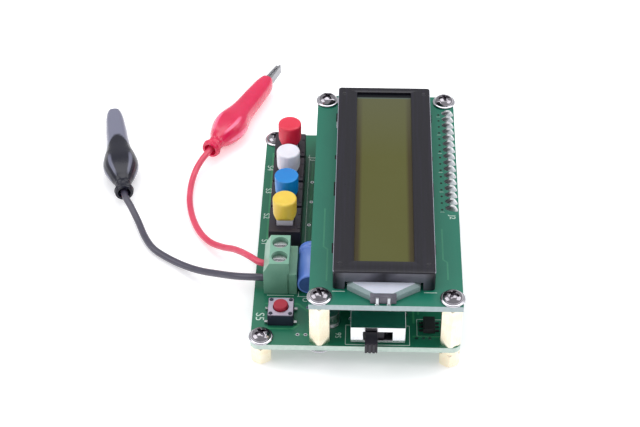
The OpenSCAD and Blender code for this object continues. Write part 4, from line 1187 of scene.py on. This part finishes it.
def frameShell(facts):
    # a closed profile carried round the plan: up the outer wall, over a quarter round of radius r,
    # across the top to the window, down its edge, back under the top and down the inner wall. The
    # near wall's lowest points are lifted to the notch between the two feet; marks carry painted light:
    # a highlight on the long side edges and a reflection on the near wall, which grows with distance from
    # the middle
    w, d, r, t = facts["wide"], facts["deep"], facts["round"], facts["wall"]
    low, high, outer = facts["low"], facts["high"], 0.8
    notch = (facts["foot"] - outer) / (w - 2 * outer)
    besideNotch = [q + dq for q in (notch, 1 - notch) for dq in (-0.002, 0.002)]
    steps = sorted([0.2, 0.35, 0.5, 0.65, 0.8] + besideNotch)
    around = 7
    rows = [(w, d, outer, facts["centre"], low)]
    for a in np.linspace(0, pi / 2, 6):
        inset, height = r * (1 - np.cos(a)), high - r + r * np.sin(a)
        rows.append((w - 2 * inset, d - 2 * inset, outer - inset, facts["centre"], height))
    gap, deepGap = facts["window"]
    rows.append((gap + 0.3, deepGap + 0.3, 0.35, facts["windowAt"], high))
    rows.append((gap + 0.08, deepGap + 0.08, 0.24, facts["windowAt"], high - 0.06))
    rows.append((gap, deepGap, 0.2, facts["windowAt"], high - 0.2))
    rows.append((gap, deepGap, 0.2, facts["windowAt"], high - t + 0.02))
    rows.append((w - 2 * t, d - 2 * t, 0.3, facts["centre"], high - t + 0.02))
    rows.append((w - 2 * t, d - 2 * t, 0.3, facts["centre"], low))
    rings = np.array([level(roundedOutline(wide, long, corner, around - 1, steps, centre), z)
                      for wide, long, corner, centre, z in rows])
    side = around + len(steps)
    near = np.arange(2 * side + around + 1, 2 * side + around + len(steps) - 1)
    for k in (0, -1):
        rings[k, near, 2] = facts["notchHigh"]
    marks = np.zeros(rings.shape[:2])
    across = np.abs(rings[:, :, 0] - facts["centre"][0]) / w
    # painted highlight along the long top edges
    marks[2:4] = (across[2:4] > 0.5 - 0.2 / w) * facts["edgeHighlight"]
    # painted reflection on the near wall, paler towards its ends
    wall = np.arange(2 * side + around, 2 * side + around + len(steps))
    marks[0, wall] = facts["wallSheen"] * np.clip((across[0, wall] - 0.1) / 0.12, 0, 1)
    marks[1, wall] = facts["wallSheen"] * np.clip(across[1, wall] / 0.12, 0, 1)
    return skin(rings, loopU=True), marks.ravel()


# the third colour is the pale grey painted on as highlight and reflection
framePaint = paintedSteel("framePaint", tone(22, 18, 35), tone(12, 9, 21), tone(200, 200, 220),
                          (0.0065, 0.001, 0), (0.0104, 0.0328), rough=0.3)
shell, shellPaintedLight = frameShell(frameSet)
pieceFrom("displayFrame", [shell], framePaint, replaced=["display_frame"],
          sharp=40, marks=shellPaintedLight)
film = displayFilm("displayFilm", tone(84, 84, 40), tone(66, 58, 32), tone(90, 91, 68),
                   tone(12, 14, 20), tone(84, 94, 84), 0.00645,
                   {"margin": 0.0058, "band": 0.0325, "strip": 0.0330})
softened("display_glass", film, 0.05)
guideWhite = mouldedPlastic("guideWhite", tone(206, 208, 222), tone(196, 200, 214), rough=0.4,
                            depth=0.1, glow=0.1)
guidePale = mouldedPlastic("guideEdge", tone(150, 166, 168), tone(132, 154, 154), rough=0.25, depth=0.1)
tongueSet = {
    "corners": ((-2.1, 15.0, -33.2), (-2.1, 15.0, -34.9), (3.3, 9.4, -38.4)),   # left x, right x, y
    "drawnIn": ((1.1, 0), (1.4, 0), (0.8, 0.1)),   # of each pair of corners at the top: in x, in y
    "shoulder": 21.7, "top": 22.6,
}


def tongueRing(facts, z, share):
    # the tongue's plan at height z, down its left corners and back along its right ones: each pair of
    # corners is moved in by share times its drawnIn
    pairs = list(zip(facts["corners"], facts["drawnIn"]))
    left = [(x0 + share * dx, y + share * dy, z) for (x0, x1, y), (dx, dy) in pairs]
    right = [(x1 - share * dx, y + share * dy, z) for (x0, x1, y), (dx, dy) in pairs]
    return left + right[::-1]


guideTop = tongueSet["top"]
plateau = [tongueRing(tongueSet, z, 1) for z in (guideTop - 0.3, guideTop)]
flanks = [tongueRing(tongueSet, z, 0) for z in (panel + 0.01, tongueSet["shoulder"])]
flanks.append(tongueRing(tongueSet, guideTop - 0.02, 1))
underFrame = softBlock(17.6, 67.4, panel + 0.02, 22.55, 0.4, 0.15, (6.5, 0.5))
pieceFrom("lightGuide", [underFrame, skin(np.array(plateau))], guideWhite, replaced=["light_guide"])
pieceFrom("lightGuideEdge", [skin(np.array(flanks))], guidePale)
ledGrey = mouldedPlastic("ledGrey", tone(122, 118, 128), tone(78, 76, 88), rough=0.5, grain=500, depth=0.5)
pieceFrom("lightSource", [softBlock(6.1, 1.3, panel + 0.01, 22.5, 0.1, 0.1, (6.35, -38.75))], ledGrey,
          replaced=["light_source"])
ledLegs = []
for x in (4.95, 7.65):
    bend = [(x, -38.9, 22.2), (x, -39.35, 22.1), (x, -39.5, 21.6), (x, -39.6, 20.7), (x, -39.75, 20.35)]
    ledLegs.append(carried(smoothPath(bend, 4), roundedOutline(0.7, 0.22, 0.1, 3), up=(0, -1, 0.3)))
    ledLegs.append(solderDome(x, -39.35, panel, 0.6, 0.8, 0.3))
pieceFrom("ledLegs", ledLegs, solder)


print("caps")
capSet = {
    "yellow": {"row": -3.5, "low": 15.7, "crisp": 0.5, "tint": tone(236, 206, 78),
               "deep": tone(222, 184, 62)},
    "blue": {"row": 6.5, "low": 14.6, "crisp": 0.18, "tint": tone(10, 136, 212), "deep": tone(6, 120, 200)},
    "white": {"row": 16.5, "low": 14.6, "crisp": 0.5, "tint": tone(232, 230, 238),
              "deep": tone(216, 214, 226)},
    "red": {"row": 26.5, "low": 15.7, "crisp": 0.5, "tint": tone(228, 42, 74), "deep": tone(214, 30, 62)},
}
switchDark = mouldedPlastic("switchDark", tone(46, 38, 50), tone(34, 28, 38), rough=0.42, depth=0.2)
stemWhite = mouldedPlastic("stemWhite", tone(222, 216, 228), tone(204, 198, 214), rough=0.35, depth=0.15)
capShape = {
    "x": -18.1, "tall": 5.6, "wide": 6.0,
    "skirt": [   # height, width, corner radius
        (0, 4.5, 0.7), (0.25, 4.7, 0.9), (0.95, 5.75, 2.5), (1.15, 5.9, 2.9), (1.4, 5.94, 2.97),
        (4.0, 6.0, 3.0),
    ],
}


def capSkin(facts, y, low, edge):
    # a stack of rounded squares: the skirt, a rim that rolls over by a quarter round of radius edge
    # (width - 2 edge (1 - cos a) at tall - edge (1 - sin a)), and a top dished by 0.05
    tall, wide = facts["tall"], facts["wide"]
    rim = [(tall - edge + edge * np.sin(a), wide - 2 * edge * (1 - np.cos(a)),
            wide / 2 - edge * (1 - np.cos(a))) for a in np.linspace(0, pi / 2, 6)]
    dish = [(tall - 0.02, 5.3 - edge, 2.64 - edge / 2), (tall - 0.04, 3.4, 1.7), (tall - 0.05, 0.8, 0.4)]
    rings = [level(roundedOutline(w, w, r, 10), low + z) for z, w, r in facts["skirt"] + rim + dish]
    return skin(np.array(rings) + np.array([facts["x"], y, 0]))


seams = []
for colour, facts in capSet.items():
    shape = capSkin(capShape, facts["row"], facts["low"], facts["crisp"])
    resin = mouldedPlastic(colour + "CapResin", facts["tint"], facts["deep"], rough=0.34, depth=0.12,
                           coat=0.2, glow=0.22)
    pieceFrom(colour + "Cap", [shape], resin, body=colour + "_button", replaced=[colour + "_cap"],
              sharp=50)
    softened(colour + "_switch_stem", stemWhite, 0.2, body=colour + "_button")
    softened(colour + "_switch_body", switchDark, 0.18)
    for dy in (-2.6, 2.6):
        seams.append(softBlock(0.7, 1.5, 13.3, 14.28, 0.1, 0.06, (-14.6, facts["row"] + dy)))
pieceFrom("switchTabs", seams, switchDark)


print("screws")
screwSet = {
    "places": [(x, y, 20.2, 1) for x in (-8.5, 22.5) for y in (-37.5, 37.5)]
    + [(-22.5, y, 6.6, 1) for y in (-37.5, 37.5)] + [(-8.5, y, 5.0, -1) for y in (-37.5, 37.5)],
    "turns": (20, 38, 65, 12, 30, 75, 15, 50), "base": 0.6, "rise": 1.45, "curve": 2.46, "foot": 2.45,
    "arm": 0.34, "flare": 0.1, "armEdge": 0.09, "reach": 1.5, "armEnd": 0.35, "depth": 1.05,
}


def screwHead(facts):
    # the dome is z(r) = base + rise sqrt(1 - (r / curve)^2), and the cross recess takes depth off it
    # where the lesser of |x|, |y| is within the arm, which widens by flare towards the middle. Its
    # walls run out over armEdge, its ends over the last armEnd before reach
    r = np.concatenate([np.linspace(0.02, 1.7, 30), np.linspace(1.75, 2.44, 8)])
    v = np.linspace(0, 2 * pi, 96, endpoint=False)
    outward, turn = np.meshgrid(r, v, indexing="ij")
    x, y = outward * np.cos(turn), outward * np.sin(turn)
    near, far = np.minimum(abs(x), abs(y)), np.maximum(abs(x), abs(y))
    halfArm = facts["arm"] + facts["flare"] * (1 - far / facts["reach"])
    inArm = np.clip((halfArm - near) / facts["armEdge"], 0, 1)
    beforeEnd = np.clip((facts["reach"] - far) / facts["armEnd"], 0, 1)
    z = facts["base"] + facts["rise"] * np.sqrt(np.clip(1 - (outward / facts["curve"]) ** 2, 0, 1))
    z = z - inArm * facts["depth"] * beforeEnd
    dome = np.stack([x, y, z], -1)
    foot = level(circle(facts["foot"], 96), 0.5)[None]
    return skin(np.concatenate([dome, foot])[::-1])


# one chrome plating in two tones: the domes darker, a painted dark reflection, and the flanges paler, a
# painted bright rim
screwChromePaintedDark = platedMetal("screwChromePaintedDark", tone(158, 154, 160), tone(96, 92, 100), rough=0.1, scale=500,
                          depth=0.06, stain=0.6)
washerChromePaintedBright = platedMetal("washerChromePaintedBright", tone(208, 206, 212), tone(150, 148, 156), rough=0.14, scale=500,
                           depth=0.06, stain=0.3)
spots = list(zip(screwSet["places"], screwSet["turns"]))
heads = [moved(screwHead(screwSet), (x, y, z), radians(a), flip=way < 0) for (x, y, z, way), a in spots]
pieceFrom("boardScrews", heads, screwChromePaintedDark, replaced=["board_screws"], sharp=50)
washerProfile = [
    (1.3, 0.0), (2.75, 0.0), (2.9, 0.08), (2.95, 0.25), (2.92, 0.42), (2.8, 0.52), (2.44, 0.58),
]
washers = [moved(turned(washerProfile, sides=64), (x, y, z), flip=way < 0) for (x, y, z, way), a in spots]
# the flanges take the paler chrome: a painted bright rim
pieceFrom("screwFlanges", washers, washerChromePaintedBright, sharp=50)


print("pillars and board parts")
brass = platedMetal("brass", tone(255, 247, 226), tone(226, 192, 136), rough=0.24, brush=(1, 1, 0.05),
                    scale=900, depth=0.08, stain=0.45)
terminalGreen = mouldedPlastic("terminalGreen", tone(126, 174, 152), tone(108, 158, 136), rough=0.38,
                               depth=0.25, coat=0.15, glow=0.05)
tinPlate = platedMetal("tinPlate", tone(210, 210, 212), tone(140, 140, 144), rough=0.22, scale=700)
shellPlate = platedMetal("shellPlate", tone(240, 240, 243), tone(200, 200, 206), rough=0.2,
                         brush=(1, 0.3, 1), scale=600, depth=0.1, stain=0.2)
plungerRed = mouldedPlastic("plungerRed", tone(176, 28, 54), tone(140, 14, 40), rough=0.45,
                            grain=420, depth=0.8)
coverLilac = platedMetal("coverLilac", tone(182, 174, 190), tone(136, 128, 148), rough=0.42, scale=800,
                         depth=0.3, stain=0.4)
baseNavy = mouldedPlastic("baseNavy", tone(34, 36, 58), tone(24, 26, 44), rough=0.4)
plainBlack = mouldedPlastic("plainBlack", tone(34, 34, 38), tone(24, 24, 28), rough=0.5, depth=0.3)
leverBlack = mouldedPlastic("leverBlack", tone(40, 34, 46), tone(30, 26, 36), rough=0.38)
canBlue = mouldedPlastic("canBlue", tone(120, 158, 244), tone(102, 142, 236), rough=0.3,
                         depth=0.1, coat=0.3)
canEnd = mouldedPlastic("canEnd", tone(72, 104, 172), tone(60, 88, 156), rough=0.35)
resistorBrown = mouldedPlastic("resistorBrown", tone(130, 66, 44), tone(110, 52, 36), rough=0.3, coat=0.3)
trimmerBlue = mouldedPlastic("trimmerBlue", tone(44, 84, 168), tone(36, 70, 150), rough=0.35)
trimmerCream = mouldedPlastic("trimmerCream", tone(226, 216, 186), tone(206, 194, 160), rough=0.4)
stripPink = mouldedPlastic("stripPink", tone(196, 150, 158), tone(170, 124, 134), rough=0.6)
pinGold = platedMetal("pinGold", tone(226, 208, 150), tone(180, 160, 110), rough=0.2, stain=0.3)

plainParts = {
    "pillars": (brass, 0.3, "brass", "meter"), "legs": (brass, 0.25, "brass", "meter"),
    "contact_strips": (stripPink, 0.1, "strip_pink", "meter"),
    "header_pins": (pinGold, 0.08, "pin_metal", "meter"),
    "header_strip": (plainBlack, 0.08, "black_plastic", "meter"),
    "header_socket": (plainBlack, 0.08, "black_plastic", "meter"),
    "terminal_contacts": (tinPlate, 0.05, "plated_metal", "meter"),
    "red_terminal_screw": (tinPlate, 0.08, "plated_metal", "red_clamp_screw"),
    "black_terminal_screw": (tinPlate, 0.08, "plated_metal", "black_clamp_screw"),
    "red_terminal_cage": (tinPlate, 0.05, "plated_metal", "red_clamp_cage"),
    "black_terminal_cage": (tinPlate, 0.05, "plated_metal", "black_clamp_cage"),
    "tact_base": (baseNavy, 0.12, "black_plastic", "meter"),
    "tact_cover": (coverLilac, 0.06, "cover_metal", "meter"),
    "tact_plunger": (plungerRed, 0.12, "plunger_red", "function_button"),
    "tact_legs": (tinPlate, 0.05, "plated_metal", "meter"),
    "power_switch_base": (plainBlack, 0.08, "black_plastic", "meter"),
    "power_switch_shell": (shellPlate, 0.22, "shell_metal", "meter"),
    "power_switch_lever": (leverBlack, 0.1, "lever_black", "power_lever"),
    "microcontroller": (plainBlack, 0.06, "chip_black", "meter"),
    "comparator_chip": (plainBlack, 0.06, "chip_black", "meter"),
    "regulator_chip": (plainBlack, 0.06, "chip_black", "meter"),
    "crystal": (tinPlate, 0.2, "can_steel", "meter"),
    "resistors": (resistorBrown, 0.3, "resistor_brown", "meter"),
    "trimmer_body": (trimmerBlue, 0.15, "trimmer_blue", "meter"),
    "trimmer_rotor": (trimmerCream, 0.12, "trimmer_cream", "trimmer"),
    "power_socket": (shellPlate, 0.1, "shell_metal", "meter"),
}
for node, (material, width, slotName, body) in plainParts.items():
    softened(node, material, width, body=body)

# the inner corner of the step on the housing's near face stays as cut
softened("terminal_housing", terminalGreen, 0.22,
         sparing=((-0.0169, -0.03, 0.0), (-0.0162, -0.0221, 0.0134)))

capacitorSet = {
    "x": -11.35, "z": 9.65, "near": -22.5, "r": 3.05, "bead": 10.2, "beadWide": 1.2, "beadDeep": 0.35,
}
r, bead = capacitorSet["r"], capacitorSet["bead"]
profile = [(r - inset, z) for inset, z in ((0.55, 0.12), (0.45, 0), (0.2, 0), (0, 0.2), (0, bead))]
profile += [(r - capacitorSet["beadDeep"] * np.sin(a), bead + capacitorSet["beadWide"] * a / pi)
            for a in np.linspace(0, pi, 7)]
profile += [(r - inset, z) for inset, z in ((0, 12.6), (0.1, 12.82), (0.3, 12.9))]
sleeve = turned(profile, sides=56, caps=(False, True))
disc = turned([(r - 0.5, 0.1), (0.4, 0.1), (0.2, 0.14)], sides=56, caps=(False, True))
sideways = []
for points, faces in (sleeve, disc):
    x, y, z = points.T
    lying = np.column_stack([x + capacitorSet["x"], z + capacitorSet["near"], -y + capacitorSet["z"]])
    sideways.append((lying, faces))
pieceFrom("capacitorSleeve", sideways[:1], canBlue, replaced=["blue_capacitor"],
          sharp=50)
pieceFrom("capacitorEnd", sideways[1:], canEnd)
leadWires = []
for x in (-12.6, -10.1):
    wire = [(x, -9.8, 9.65), (x, -9.0, 9.65), (x, -8.5, 9.4), (x, -8.3, 8.9), (x, -8.3, 6.62)]
    leadWires.append(carried(smoothPath(wire, 4), circle(0.3, 10), up=(1, 0, 0)))
pieceFrom("capacitorWires", leadWires, tinPlate)


print("stage")
floorPaint = mouldedPlastic("floorPaper", (0.93, 0.93, 0.94), (0.9, 0.9, 0.92), rough=0.7, grain=60,
                            depth=0.02, lit=0.3)
floorEdge, floorHeight = 1.6, -0.0002
floorCorners = [(x, y, floorHeight) for x in (-floorEdge, floorEdge) for y in (-floorEdge, floorEdge)]
floor = bpy.data.meshes.new("floor")
floor.from_pydata(floorCorners, [], [[0, 2, 3, 1]])
floorObject = bpy.data.objects.new("floor", floor)
scene.collection.objects.link(floorObject)
floor.materials.append(floorPaint)

lightSet = {
    "softboxLeft": ((-0.75, -0.1, 0.65), 0.7, 0.7, 3.2),
    "softboxRight": ((0.75, 0.05, 0.7), 0.7, 0.7, 3.2),
    "softboxTop": ((0.0, 0.35, 1.0), 0.9, 0.6, 3.6),
}
for name, (place, wide, deep, power) in lightSet.items():
    light = bpy.data.lights.new(name, "AREA")
    light.shape = "RECTANGLE"
    light.size, light.size_y = wide, deep
    light.energy = power
    lamp = bpy.data.objects.new(name, light)
    lamp.location = place
    lamp.rotation_euler = (Vector((0, 0, 0.01)) - Vector(place)).to_track_quat("-Z", "Y").to_euler()
    scene.collection.objects.link(lamp)
world = bpy.data.worlds.new("studio")
scene.world = world
world.use_nodes = True
world.node_tree.nodes["Background"].inputs["Color"].default_value = (0.97, 0.98, 1, 1)
world.node_tree.nodes["Background"].inputs["Strength"].default_value = 0.62
scene.view_settings.view_transform = "Standard"
